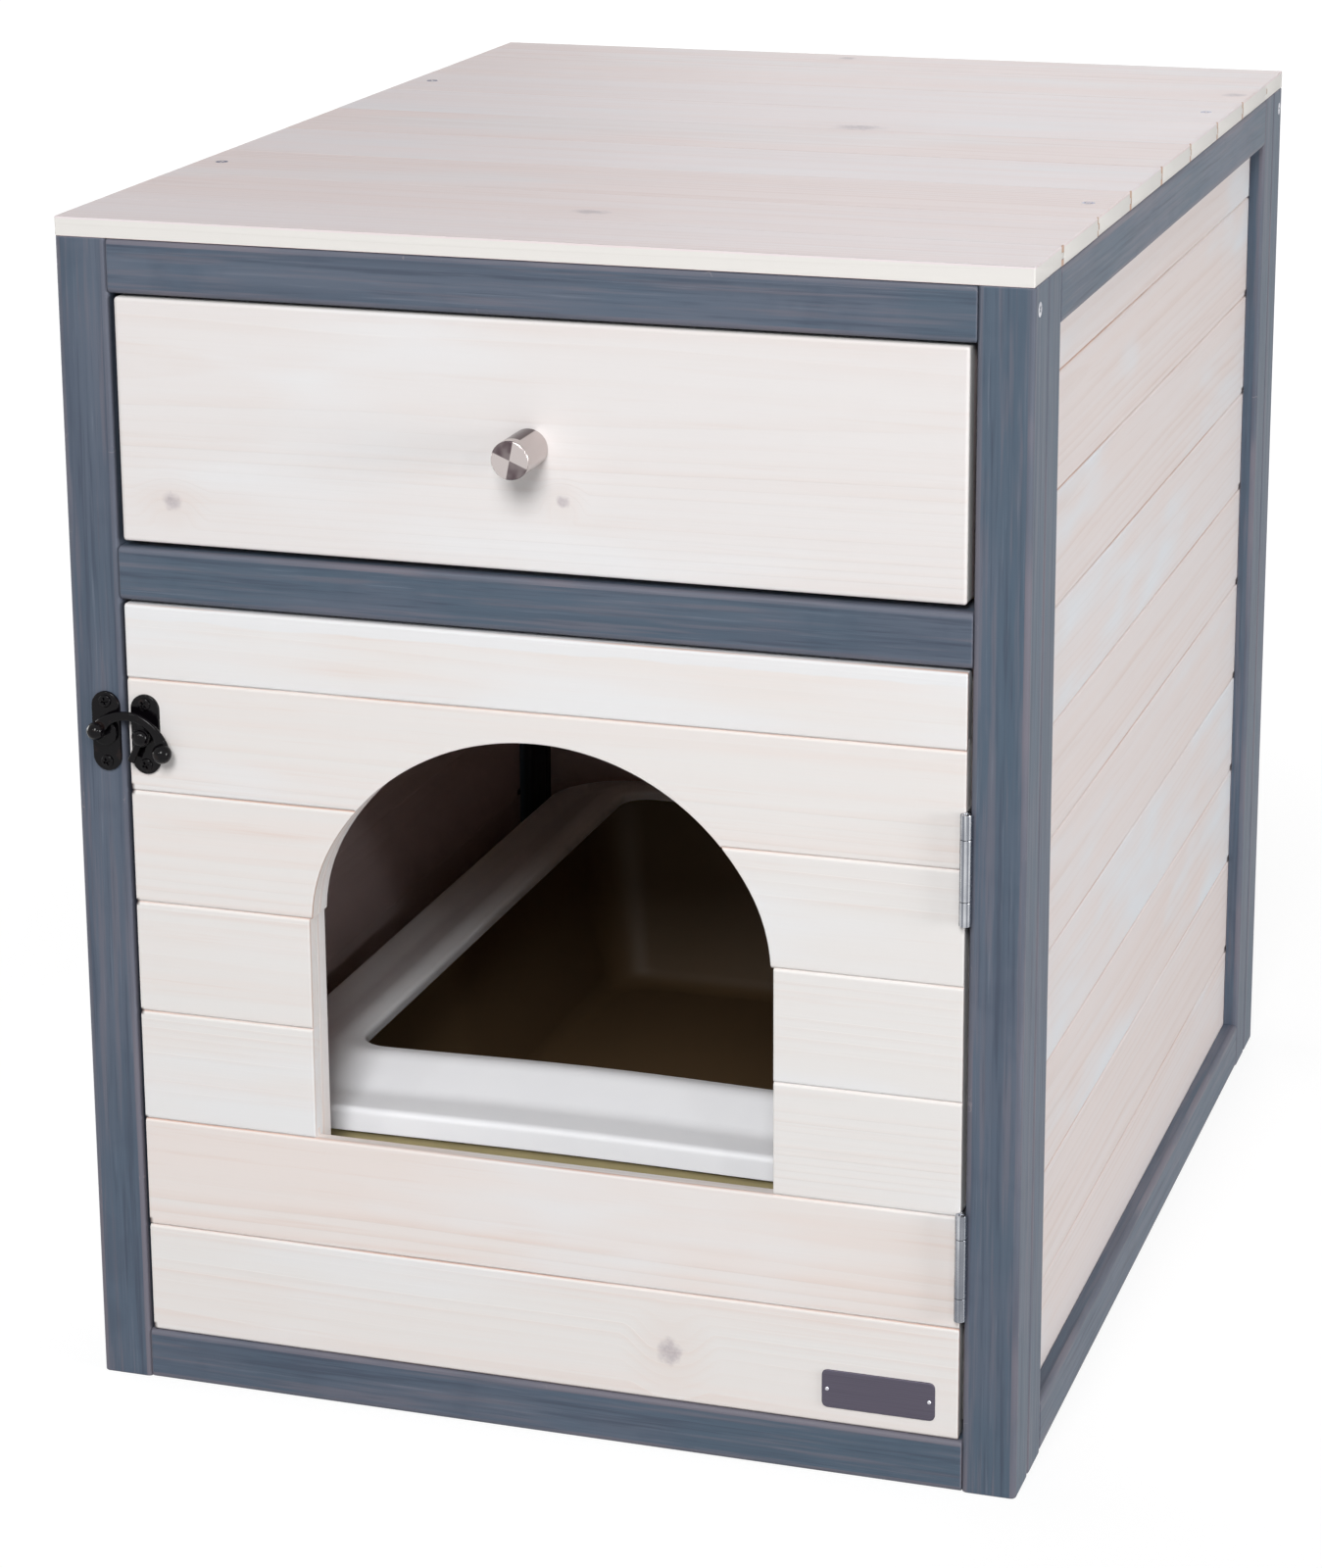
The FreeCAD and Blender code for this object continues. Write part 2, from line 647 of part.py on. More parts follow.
# Courses below the entrance, with the top one's back cut away along the sill
sill_number = int(size.sill_courses.value) - 1
for number in range(sill_number):
    keep(door_board(f"door_board_{number + 1}", number, door_left, door_width),
         f"door_board_{number + 1}")
sill_whole = door_board("sill_board_whole", sill_number, door_left, door_width)
sill_top_room = size.tongue_height + size.sill_rebate
sill_back_tool = block("sill_back_tool",
                       (2 * size.arch_half_width, size.board_thickness, sill_top_room),
                       (-size.arch_half_width, front + size.sill_lip,
                        sill_level - size.sill_rebate))
sill_tongue_tool = block("sill_tongue_tool",
                         (2 * size.arch_half_width, size.board_thickness, size.tongue_height),
                         (-size.arch_half_width, front, sill_level - size.board_gap))
sill_tool = joined("sill_tool", [sill_back_tool, sill_tongue_tool])
keep(cut("door_sill_board", sill_whole, sill_tool), "door_sill_board")

# Courses that the entrance divides, a left and a right run of each
half_door = door_width / 2
left_runs = []
right_runs = []
crown_numbers = []
for number in range(sill_number + 1, len(door_lines) - 1):
    if door_lines[number + 1].value <= arch_top.value:
        for runs, side, x in ((left_runs, "left", door_left), (right_runs, "right", ZERO)):
            whole = door_board(f"door_{side}_run_{number}_whole", number, x, half_door)
            runs.append(cut(f"door_{side}_run_{number}", whole, entrance_tool))
    else:
        crown_numbers.append(number)
keep(group("door_left_boards", left_runs), "door_left_boards")
keep(group("door_right_boards", right_runs), "door_right_boards")

# Courses over the entrance
for number in crown_numbers:
    whole = door_board(f"door_board_{number + 1}_whole", number, door_left, door_width)
    if door_lines[number].value < arch_top.value:
        keep(cut("door_arch_board", whole, entrance_tool), "door_arch_board")
    else:
        keep(whole, f"door_top_board_{number - crown_numbers[0]}")

# Inner layer
batten_foot = door_bottom + size.batten_end_gap
batten_height = door_top - size.batten_end_gap - batten_foot
below_sill_tool = block("below_sill_tool",
                        (2 * size.arch_half_width, size.batten_thickness, size.batten_sill_drop),
                        (-size.arch_half_width, front + size.board_thickness,
                         sill_level - size.batten_sill_drop))
batten_tool = joined("batten_tool", [entrance_tool, below_sill_tool])
for side, x in (("left", door_left), ("right", door_right - size.batten_width)):
    whole = block(f"door_batten_{side}_whole",
                  (size.batten_width, size.batten_thickness, batten_height),
                  (x, front + size.board_thickness, batten_foot))
    keep(cut(f"door_batten_{side}", whole, batten_tool), f"door_batten_{side}")


# Butt hinges: the leaves lie in the gap between the door and the right post
def hinge(level_name, level):
    axis_x = door_right + size.door_side_gap / 2
    axis_y = front - size.barrel_proud
    foot = level - size.hinge_height / 2
    head = level + size.hinge_height / 2
    clear = size.barrel_diameter / 2 + size.knuckle_gap
    bore = size.pin_diameter + 2 * size.pin_clearance
    door_foot = foot + size.hinge_end_knuckle + size.knuckle_gap
    door_knuckle = size.hinge_height - 2 * size.hinge_end_knuckle - 2 * size.knuckle_gap
    tail = size.barrel_proud + size.leaf_depth

    def leaf(owner, x, bands, hole_diameter):
        """A leaf with its knuckles. Each band is a knuckle's foot and height."""
        solids = [block(f"{owner}_plate", (size.leaf_thickness, tail - clear, size.hinge_height),
                        (x, axis_y + clear, foot))]
        for number, (band_foot, band_height) in enumerate(bands, start=1):
            solids.append(block(f"{owner}_strap_{number}",
                                (size.leaf_thickness, clear, band_height), (x, axis_y, band_foot)))
            solids.append(rod(f"{owner}_knuckle_{number}", "Z", size.barrel_diameter, band_height,
                              (axis_x, axis_y, band_foot)))
        hole = rod(f"{owner}_bore", "Z", hole_diameter, size.hinge_height, (axis_x, axis_y, foot))
        keep(cut(owner, joined(f"{owner}_whole", solids), hole), owner)

    end_bands = [(foot, size.hinge_end_knuckle),
                 (head - size.hinge_end_knuckle, size.hinge_end_knuckle)]
    leaf(f"{level_name}_hinge_frame_leaf", right_face - size.leaf_thickness, end_bands,
         size.pin_diameter)
    leaf(f"{level_name}_hinge_door_leaf", door_right, [(door_foot, door_knuckle)], bore)
    return rod(f"{level_name}_hinge_pin", "Z", size.pin_diameter, size.hinge_height,
               (axis_x, axis_y, foot))


hinge_pins = [hinge("upper", upper_hinge_middle), hinge("lower", lower_hinge_middle)]
keep(group("hinge_pins", hinge_pins), "hinge_pins")


# Latch: a keeper on the left post, a plate on the door and the arm on its rivet
def stadium(name, x, level):
    """A latch plate with round ends."""
    straight = size.latch_plate_height - size.latch_plate_width
    low = level - straight / 2
    middle = block(f"{name}_middle",
                   (size.latch_plate_width, size.latch_plate_thickness, straight),
                   (x - size.latch_plate_width / 2, front - size.latch_plate_thickness, low))
    ends = [rod(f"{name}_end_{number}", "Y", size.latch_plate_width, size.latch_plate_thickness,
                (x, front, z)) for number, z in enumerate((low, low + straight), start=1)]
    return joined(f"{name}_blank", [middle] + ends)


plate_face = front - size.latch_plate_thickness
keeper_x = left + size.keeper_inset
pivot_x = left + size.pivot_inset
level = door_lines[crown_numbers[0]] + size.latch_level
boss = rod("keeper_boss", "Y", size.boss_diameter, size.boss_height, (keeper_x, plate_face, level))
peg = rod("keeper_peg", "Y", size.peg_diameter, size.boss_height + size.peg_height,
          (keeper_x, plate_face, level))
keep(joined("latch_keeper", [stadium("keeper", keeper_x, level), boss, peg]), "latch_keeper")
keep(stadium("door_latch", pivot_x, level), "latch_door_plate")

arm_back = plate_face - size.arm_setback
arm_middle = arm_back - size.arm_thickness / 2
bow_x = pivot_x - size.arm_bend_side
bow_z = level - size.arm_bend_drop
ball_y = arm_middle - size.ball_forward
bow_outer = rod("bow_outer", "Y", 2 * size.arm_bend_radius + size.arm_bar, size.arm_thickness,
                (bow_x, arm_back, bow_z))
bow_inner = rod("bow_inner", "Y", 2 * size.arm_bend_radius - size.arm_bar, size.arm_thickness,
                (bow_x, arm_back, bow_z))
bind(bow_outer, "Angle", size.catch_angle - size.thumb_angle)
bow_outer.Placement.Rotation = TURN["Y"].multiply(Rotation(HEADING["Z"], size.thumb_angle.value))
bow = cut("arm_bow", bow_outer, bow_inner)


def on_bow(angle):
    """A place on the bow's middle line."""
    turn = math.radians(angle.value)
    return (bow_x + size.arm_bend_radius * math.cos(turn),
            bow_z + size.arm_bend_radius * math.sin(turn))


def cut_ball(name, diameter, x, z, back_y):
    """A ball whose back is cut flat."""
    whole = ball(f"{name}_whole", diameter, (x, ball_y, z))
    room = block(f"{name}_room", (diameter, diameter, diameter),
                 (x - diameter / 2, back_y - diameter, z - diameter / 2))
    return shared(name, [whole, room])


catch_x, catch_z = on_bow(size.catch_angle)
thumb_x, thumb_z = on_bow(size.thumb_angle)
catch_back = plate_face - size.boss_height - size.rest_gap
catch_ball = cut_ball("arm_catch_ball", size.catch_ball, catch_x, catch_z, catch_back)
thumb_ball = cut_ball("arm_thumb_ball", size.thumb_ball, thumb_x, thumb_z, arm_back)
eye = rod("arm_eye", "Y", size.eye_diameter, size.arm_thickness, (pivot_x, arm_back, level))
neck_top = size.arm_bend_radius - size.arm_bend_drop
neck = block("arm_neck", (size.arm_bar, size.arm_thickness, neck_top),
             (pivot_x - size.arm_bar / 2, arm_back - size.arm_thickness, level))
tail_half = size.tail_width / 2
tail_outline = [(-tail_half, ZERO), (-tail_half - size.tail_run, -size.tail_drop),
                (tail_half - size.tail_run, -size.tail_drop), (tail_half, ZERO)]
tail = prism("arm_tail", "Y", tail_outline, size.arm_thickness,
             (pivot_x, arm_back - size.arm_thickness, level))
arm_whole = joined("arm_whole", [bow, catch_ball, thumb_ball, eye, neck, tail])
eye_bore = rod("arm_eye_bore", "Y", size.rivet_diameter + 2 * size.rivet_clearance,
               size.catch_ball * 2, (pivot_x, front, level))
notch_width = size.peg_diameter + 2 * size.peg_play
notch_reach = size.peg_height + size.rest_gap
notch = block("arm_notch", (notch_width, notch_reach, size.catch_ball),
              (keeper_x - notch_width / 2, catch_back - notch_reach,
               level + size.peg_diameter / 2 + size.peg_play - size.catch_ball))
keep(cut("latch_arm", arm_whole, joined("arm_cuts", [eye_bore, notch])), "latch_arm")

rivet_front = arm_back - size.arm_thickness - size.rest_gap
rivet_shank = rod("rivet_shank", "Y", size.rivet_diameter,
                  size.arm_setback + size.arm_thickness + size.rest_gap,
                  (pivot_x, plate_face, level))
rivet_dome = ball("rivet_dome", size.rivet_head, (pivot_x, rivet_front, level))
dome_room = block("rivet_dome_room", (size.rivet_head, size.rivet_dome, size.rivet_head),
                  (pivot_x - size.rivet_head / 2, rivet_front - size.rivet_dome,
                   level - size.rivet_head / 2))
rivet_collar = rod("rivet_collar", "Y", size.eye_diameter, size.arm_setback - size.rest_gap,
                   (pivot_x, plate_face, level))
keep(joined("latch_rivet", [rivet_shank, rivet_collar,
                            shared("rivet_head", [rivet_dome, dome_room])]), "latch_rivet")


# Screws and nails
def turned(name, half_outline, at, turn):
    """Turn a half outline, drawn as radius and place along the axis, about its axis. The axis
    is Z before it is turned."""
    sketch = doc.addObject("Sketcher::SketchObject", name + "_outline")
    sketch.Placement = FreeCAD.Placement(Vector(), turn.multiply(TURN["Y"]))
    place(sketch, at)
    draw_outline(sketch, half_outline)
    solid = doc.addObject("Part::Revolution", name)
    solid.Source = sketch
    solid.Axis = turn.multVec(HEADING["Z"])
    for axis, length in zip("xyz", at):
        bind(solid, f"Base.{axis}", length)
    solid.Angle = 360
    solid.Solid = True
    return solid


# Which way a screw's head faces
FACES = {
    "up": Rotation(),
    "front": Rotation(Vector(1, 0, 0), 90),
    "back": Rotation(Vector(1, 0, 0), -90),
    "left": Rotation(Vector(0, 1, 0), -90),
    "right": Rotation(Vector(0, 1, 0), 90),
}


def flush_screw(name, head, shank, length, at, facing):
    """A countersunk screw whose head is flush with the face at its place."""
    sink = (head - shank) / 2
    outline = [(ZERO, ZERO), (head / 2, ZERO), (shank / 2, -sink), (shank / 2, -length),
               (ZERO, -length)]
    return turned(name, outline, at, FACES[facing])


def raised_screw(name, head, rise, edge, shank, length, at, facing):
    """A screw whose flat round head, bevelled at its edge, stands in front of the face."""
    outline = [(ZERO, rise), (head / 2 - edge, rise), (head / 2, rise - edge), (head / 2, ZERO),
               (shank / 2, ZERO), (shank / 2, -length), (ZERO, -length)]
    return turned(name, outline, at, FACES[facing])


frame_screws = []
frame_screw_level = size.frame_height - size.frame_screw_drop
for side, x in (("left", left), ("right", right)):
    for end, y in (("front", front + size.frame_screw_inset),
                   ("rear", back - size.frame_screw_inset)):
        frame_screws.append(flush_screw(f"frame_screw_{side}_{end}", size.wood_screw_head,
                                        size.wood_screw_shank, size.wood_screw_length,
                                        (x, y, frame_screw_level), side))
keep(group("frame_screws", frame_screws), "frame_screws")

top_screws = []
top_face = size.frame_height + size.top_thickness
middle_y = (front + back) / 2
for side, x in (("left", left + size.stock / 2), ("right", right - size.stock / 2)):
    for end, y in (("front", middle_y - size.top_screw_spread / 2),
                   ("rear", middle_y + size.top_screw_spread / 2)):
        top_screws.append(flush_screw(f"top_screw_{side}_{end}", size.wood_screw_head,
                                      size.wood_screw_shank, size.top_screw_length,
                                      (x, y, top_face), "up"))
keep(group("top_screws", top_screws), "top_screws")


def latch_screws(label, x, length):
    """The two screws of a latch plate."""
    screws = []
    for end, shift in (("top", size.latch_screw_spacing / 2), ("foot", size.latch_screw_spacing / -2)):
        screws.append(raised_screw(f"{label}_{end}", size.latch_screw_head, size.latch_screw_rise,
                                   size.latch_screw_edge, size.latch_screw_shank, length,
                                   (x, plate_face, level + shift), "front"))
    keep(group(label, screws), label)


latch_screws("keeper_screws", keeper_x, size.keeper_screw_length)
latch_screws("door_latch_screws", pivot_x, size.door_screw_length)


def hinge_screws(label, x, facing):
    """The two screws of each hinge's leaf, flush in the leaf."""
    screws = []
    y = front + size.leaf_depth / 2
    reach = size.hinge_height / 2 - size.hinge_screw_inset
    for hinge_name, middle in (("upper", upper_hinge_middle), ("lower", lower_hinge_middle)):
        for end, z in (("top", middle + reach), ("foot", middle - reach)):
            screws.append(flush_screw(f"{label}_{hinge_name}_{end}", size.hinge_screw_head,
                                      size.hinge_screw_shank, size.hinge_screw_length, (x, y, z),
                                      facing))
    keep(group(label, screws), label)


hinge_screws("hinge_screws_frame", right_face - size.leaf_thickness, "left")
hinge_screws("hinge_screws_door", door_right + size.leaf_thickness, "right")

# Name plate with its two nails
plate_left = door_right - size.plate_side_inset - size.plate_width
plate_foot = door_bottom + size.plate_rise
plate_body = doc.addObject("PartDesign::Body", "name_plate")
plate_pad = body_pad(plate_body, "Y", rectangle(size.plate_width, size.plate_height),
                     size.plate_thickness, "name_plate")
round_edges(plate_body, plate_pad, "Y", size.plate_corner, lambda point: True, "name_plate")
place(plate_body, (plate_left, front - size.plate_thickness, plate_foot))
keep(plate_body, "name_plate")
nails = []
for side, x in (("left", plate_left + size.nail_inset),
                ("right", plate_left + size.plate_width - size.nail_inset)):
    nails.append(raised_screw(f"plate_nail_{side}", size.nail_head, size.nail_rise, size.nail_edge,
                              size.nail_shank, size.nail_length,
                              (x, front - size.plate_thickness, plate_foot + size.plate_height / 2),
                              "front"))
keep(group("name_plate_nails", nails), "name_plate_nails")

# Drawer
drawer_left = left + size.stock + size.drawer_side_gap
drawer_front_width = inner_width - 2 * size.drawer_side_gap
drawer_foot = middle_rail_level + size.stock + size.drawer_bottom_gap
drawer_front_height = size.drawer_opening - size.drawer_top_gap - size.drawer_bottom_gap
front_body = doc.addObject("PartDesign::Body", "drawer_front")
front_pad = body_pad(front_body, "Y", rectangle(drawer_front_width, drawer_front_height),
                     size.drawer_front_thickness, "drawer_front")
front_round = front_body.newObject("PartDesign::Fillet", "drawer_front_round")
front_round.Base = (front_pad, edges_along(front_pad.Shape, "X", lambda p: p.y < 1e-6)
                    + edges_along(front_pad.Shape, "Z", lambda p: p.y < 1e-6))
bind(front_round, "Radius", size.drawer_front_round)
place(front_body, (drawer_left, front, drawer_foot))
keep(front_body, "drawer_front")

runner_level = middle_rail_level + size.stock
box_left = left + size.stock + size.runner_guide + size.slide_play
box_width = inner_width - 2 * size.runner_guide - 2 * size.slide_play
box_front = front + size.drawer_front_thickness
drawer_box_depth = rear_face - size.drawer_rear_room - box_front
box_foot = runner_level + size.rest_gap
box_right = box_left + box_width
base_level = box_foot + size.drawer_base_rise
for side, x in (("left", box_left), ("right", box_right - size.drawer_wall)):
    keep(block(f"drawer_side_{side}", (size.drawer_wall, drawer_box_depth,
                                       size.drawer_box_height), (x, box_front, box_foot)),
         f"drawer_side_{side}")
inner_box_width = box_width - 2 * size.drawer_wall
inner_box_left = box_left + size.drawer_wall
keep(block("drawer_back", (inner_box_width, size.drawer_wall,
                           size.drawer_box_height - size.drawer_base_rise),
           (inner_box_left, box_front + drawer_box_depth - size.drawer_wall, base_level)),
     "drawer_back")
keep(block("drawer_bottom", (inner_box_width, drawer_box_depth - size.drawer_wall,
                             size.drawer_base), (inner_box_left, box_front, base_level)),
     "drawer_bottom")

# Runners: a bearer with a guide beside the drawer and a stop behind it
for side in ("left", "right"):
    bearer_x = left + size.stock if side == "left" else right_face - size.runner_size
    guide_x = left + size.stock if side == "left" else right_face - size.runner_guide
    stop_front = box_front + drawer_box_depth + size.rest_gap
    stop_depth = rear_face - stop_front
    bearer = block(f"runner_{side}_bearer", (size.runner_size, side_run, size.runner_size),
                   (bearer_x, front + size.stock, runner_level - size.runner_size))
    guide = block(f"runner_{side}_guide", (size.runner_guide, side_run, size.runner_guide_height),
                  (guide_x, front + size.stock, runner_level))
    stop = block(f"runner_{side}_stop", (size.runner_size, stop_depth, size.runner_guide_height),
                 (bearer_x, stop_front, runner_level))
    keep(joined(f"drawer_runner_{side}", [bearer, guide, stop]), f"drawer_runner_{side}")

# Knob and its screw
knob_level = drawer_foot + drawer_front_height / 2
knob_radius = size.knob_diameter / 2
knob_outline = [(ZERO, ZERO), (knob_radius, ZERO), (knob_radius, size.knob_length - size.knob_chamfer),
                (knob_radius - size.knob_chamfer, size.knob_length), (ZERO, size.knob_length)]
keep(turned("drawer_knob", knob_outline, (ZERO, front, knob_level), FACES["front"]), "drawer_knob")
screw_head = size.knob_screw_head / 2
screw_shank = size.knob_screw_diameter / 2
screw_end = -size.drawer_front_thickness - size.knob_screw_bite
knob_screw_outline = [(ZERO, size.knob_screw_rise), (screw_head, size.knob_screw_rise),
                      (screw_head, ZERO), (screw_shank, ZERO), (screw_shank, screw_end),
                      (ZERO, screw_end)]
keep(turned("knob_screw", knob_screw_outline, (ZERO, box_front, knob_level), FACES["back"]),
     "knob_screw")


# Litter tray: a pan and a rim of nested sections with round corners
def round_rectangle(name, half_x, half_y, radius, z):
    """A level section with round corners about the tray's middle."""
    sketch = doc.addObject("Sketcher::SketchObject", name)
    place(sketch, (ZERO, tray_middle, z))
    hx, hy, r = half_x.value, half_y.value, radius.value
    axis = Vector(0, 0, 1)
    corners = ((hx - r, hy - r, 0), (r - hx, hy - r, 90), (r - hx, r - hy, 180), (hx - r, r - hy, 270))
    starts = ((hx, r - hy), (hx - r, hy), (-hx, hy - r), (r - hx, -hy))
    ends = ((hx, hy - r), (r - hx, hy), (-hx, r - hy), (hx - r, -hy))
    for start, end, (cx, cy, turn) in zip(starts, ends, corners):
        sketch.addGeometry(Part.LineSegment(Vector(*start, 0), Vector(*end, 0)), False)
        circle = Part.Circle(Vector(cx, cy, 0), axis, r)
        low = math.radians(turn)
        sketch.addGeometry(Part.ArcOfCircle(circle, low, low + math.pi / 2), False)
    rules = []
    for side in range(4):
        line = 2 * side
        rules.append(Sketcher.Constraint("Tangent", line, 2, line + 1, 1))
        rules.append(Sketcher.Constraint("Tangent", line + 1, 2, (line + 2) % 8, 1))
        rules.append(Sketcher.Constraint("Horizontal" if side % 2 else "Vertical", line))
    for arc in (3, 5, 7):
        rules.append(Sketcher.Constraint("Equal", 1, arc))
    first = len(rules)
    rules += [Sketcher.Constraint("Radius", 1, r),
              Sketcher.Constraint("DistanceX", -1, 1, 0, 1, hx),
              Sketcher.Constraint("DistanceY", -1, 1, 2, 1, hy),
              Sketcher.Constraint("DistanceX", -1, 1, 4, 1, -hx),
              Sketcher.Constraint("DistanceY", -1, 1, 6, 1, -hy)]
    sketch.addConstraint(rules)
    for number, length in enumerate((radius, half_x, half_y, -half_x, -half_y), start=first):
        sketch.setExpression(f"Constraints[{number}]", Length.of(length).formula)
    return sketch


def loft(name, levels):
    """A solid through level sections. Each is an inset from the tray's outer edge, a corner
    radius and a level."""
    sections = []
    for number, (inset, radius, z) in enumerate(levels, start=1):
        sections.append(round_rectangle(f"{name}_section_{number}", tray_half_x - inset,
                                        tray_half_y - inset, Length.of(radius), z))
    solid = doc.addObject("Part::Loft", name)
    solid.Sections = sections
    solid.Solid = True
    solid.Ruled = True
    return solid


tray_half_x = inner_width / 2 - size.tray_side_room
tray_half_y = (size.depth - size.stock - size.tray_front_room - size.tray_rear_room) / 2
tray_middle = front + size.tray_front_room + tray_half_y
pan_foot = floor_top + size.rest_gap
pan_top = pan_foot + size.pan_height
flange_inset = size.skirt_lean + size.rim_wall + size.rest_gap
pan_inset = flange_inset + size.flange_width
mouth_radius = size.tray_corner - pan_inset
base_inset = pan_inset + size.pan_draft
pan_outer = loft("pan_outer", [(base_inset, size.base_corner, pan_foot),
                               (pan_inset, mouth_radius, pan_top)])
pan_flange = loft("pan_flange", [
    (flange_inset, mouth_radius + size.flange_width, pan_top - size.flange_thickness),
    (flange_inset, mouth_radius + size.flange_width, pan_top)])
wall_slope = size.pan_draft / size.pan_height
hollow_floor = pan_foot + size.pan_wall
hollow_foot_inset = base_inset + size.pan_wall - wall_slope * size.pan_wall
hollow_mouth_inset = pan_inset + size.pan_wall
pan_hollow = loft("pan_hollow", [
    (hollow_foot_inset, size.base_corner - size.pan_wall, hollow_floor),
    (hollow_mouth_inset, mouth_radius - size.pan_wall, pan_top)])
keep(cut("litter_pan", joined("pan_whole", [pan_outer, pan_flange]), pan_hollow), "litter_pan")

# The rim hangs over the flange: a skirt, a ledge, a slope, a flat crown and an inner lip
ledge_level = pan_top + size.rest_gap + size.rim_wall
rim_foot = ledge_level - size.skirt_height
slope_foot_inset = size.skirt_lean + size.ledge_width
slope_top_inset = slope_foot_inset + size.slope_width
opening_inset = slope_top_inset + size.crown_width
slope_foot_level = ledge_level + size.ledge_step
crown_level = slope_foot_level + size.slope_height
skirt_corner = size.tray_corner - size.skirt_lean


def face_corner(inset):
    """The corner radius shrinks evenly from the ledge's edge to the opening."""
    across = (inset - size.skirt_lean) / (opening_inset - size.skirt_lean)
    return skirt_corner - (skirt_corner - size.mouth_corner) * across


rim_outer = loft("rim_outer", [
    (ZERO, size.tray_corner, rim_foot),
    (size.skirt_lean, skirt_corner, ledge_level),
    (slope_foot_inset, face_corner(slope_foot_inset), slope_foot_level),
    (slope_top_inset, face_corner(slope_top_inset), crown_level)])
rim_under = loft("rim_under", [
    (size.rim_wall, size.tray_corner - size.rim_wall, rim_foot),
    (size.skirt_lean + size.rim_wall, skirt_corner - size.rim_wall, ledge_level - size.rim_wall),
    (slope_foot_inset, face_corner(slope_foot_inset), slope_foot_level - size.rim_wall),
    (slope_top_inset, face_corner(slope_top_inset), crown_level - size.rim_wall)])
lip_inset = opening_inset - size.rim_wall
lip_corner = size.mouth_corner + size.rim_wall
lip_foot = crown_level - size.lip_drop
lip_band = loft("rim_lip_band", [(lip_inset, lip_corner, lip_foot),
                                 (lip_inset, lip_corner, crown_level)])
rim_opening = loft("rim_opening", [(opening_inset, size.mouth_corner, lip_foot),
                                   (opening_inset, size.mouth_corner, crown_level)])
rim_shell = cut("rim_shell", rim_outer, rim_under)
keep(cut("litter_pan_rim", joined("rim_whole", [rim_shell, lip_band]), rim_opening),
     "litter_pan_rim")

# Check every object, then write each piece
doc.recompute()
for thing in doc.Objects:
    if "Invalid" in thing.State or "Error" in thing.State:
        raise RuntimeError(f"{thing.Label} did not build: {thing.State}")
labels = [node.Label for node in nodes]
if len(set(labels)) != len(labels):
    raise RuntimeError("two pieces share a name")
for node in nodes:
    shape = node.Shape
    if shape.isNull() or not shape.isValid() or not shape.Solids:
        raise RuntimeError(f"{node.Label} is not a valid solid")
for node in nodes:
    node.Shape.exportStep(f"parts/{node.Label}.step")
    print(f"{node.Label}: {len(node.Shape.Solids)} solids, {node.Shape.Volume:.0f} mm3")
print(len(nodes), "pieces written")
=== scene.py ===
# %% [markdown]
# # A litter box enclosure, dressed in Blender
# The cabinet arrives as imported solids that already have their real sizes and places, in metres.
# This lesson keeps those places and gives every piece its own skin: eased timber, whitewashed
# boards with grain, moulded plastic and small metal fittings. Each shape is worked out as a whole
# numpy array, and each finish is written as arithmetic on shader values.

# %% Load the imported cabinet
import json
import math

import bpy
import numpy as np
from mathutils import Matrix, Vector

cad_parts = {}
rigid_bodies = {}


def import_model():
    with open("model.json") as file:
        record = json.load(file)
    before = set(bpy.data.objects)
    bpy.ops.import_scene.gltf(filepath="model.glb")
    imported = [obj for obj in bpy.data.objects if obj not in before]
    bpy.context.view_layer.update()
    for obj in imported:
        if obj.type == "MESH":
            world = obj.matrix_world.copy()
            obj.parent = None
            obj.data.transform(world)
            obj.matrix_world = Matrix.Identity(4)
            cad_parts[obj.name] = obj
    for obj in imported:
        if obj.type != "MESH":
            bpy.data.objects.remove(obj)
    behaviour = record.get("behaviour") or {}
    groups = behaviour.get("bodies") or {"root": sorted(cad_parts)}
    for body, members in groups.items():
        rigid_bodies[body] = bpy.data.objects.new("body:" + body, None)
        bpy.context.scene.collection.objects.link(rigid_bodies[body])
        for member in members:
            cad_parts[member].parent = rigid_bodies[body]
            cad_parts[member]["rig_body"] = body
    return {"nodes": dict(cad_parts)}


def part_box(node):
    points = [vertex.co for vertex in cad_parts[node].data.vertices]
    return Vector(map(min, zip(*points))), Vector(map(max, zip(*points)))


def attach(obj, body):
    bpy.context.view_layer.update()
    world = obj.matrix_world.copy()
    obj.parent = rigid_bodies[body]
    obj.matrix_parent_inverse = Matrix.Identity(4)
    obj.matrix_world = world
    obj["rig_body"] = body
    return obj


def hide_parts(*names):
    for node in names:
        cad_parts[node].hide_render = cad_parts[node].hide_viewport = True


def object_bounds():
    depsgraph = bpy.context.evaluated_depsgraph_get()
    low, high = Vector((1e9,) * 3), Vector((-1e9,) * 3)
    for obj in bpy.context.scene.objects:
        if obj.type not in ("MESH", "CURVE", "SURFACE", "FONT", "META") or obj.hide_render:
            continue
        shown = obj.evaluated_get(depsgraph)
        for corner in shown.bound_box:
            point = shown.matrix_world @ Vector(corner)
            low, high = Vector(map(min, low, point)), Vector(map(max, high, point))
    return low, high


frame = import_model()
cad_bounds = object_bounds()
MM = 0.001
draws = np.random.default_rng(11)
collection = bpy.context.scene.collection
print("cabinet", [round(high - low, 3) for low, high in zip(*cad_bounds)])

# %% [markdown]
# ## Camera
# A product photograph is taken from a few metres away with a long lens. The camera could be
# placed by eye, but three faces of a box fix it: its place, heading, tilt and focal length here
# were solved from the cabinet's corners. The small vertical shift is what a shift lens does.

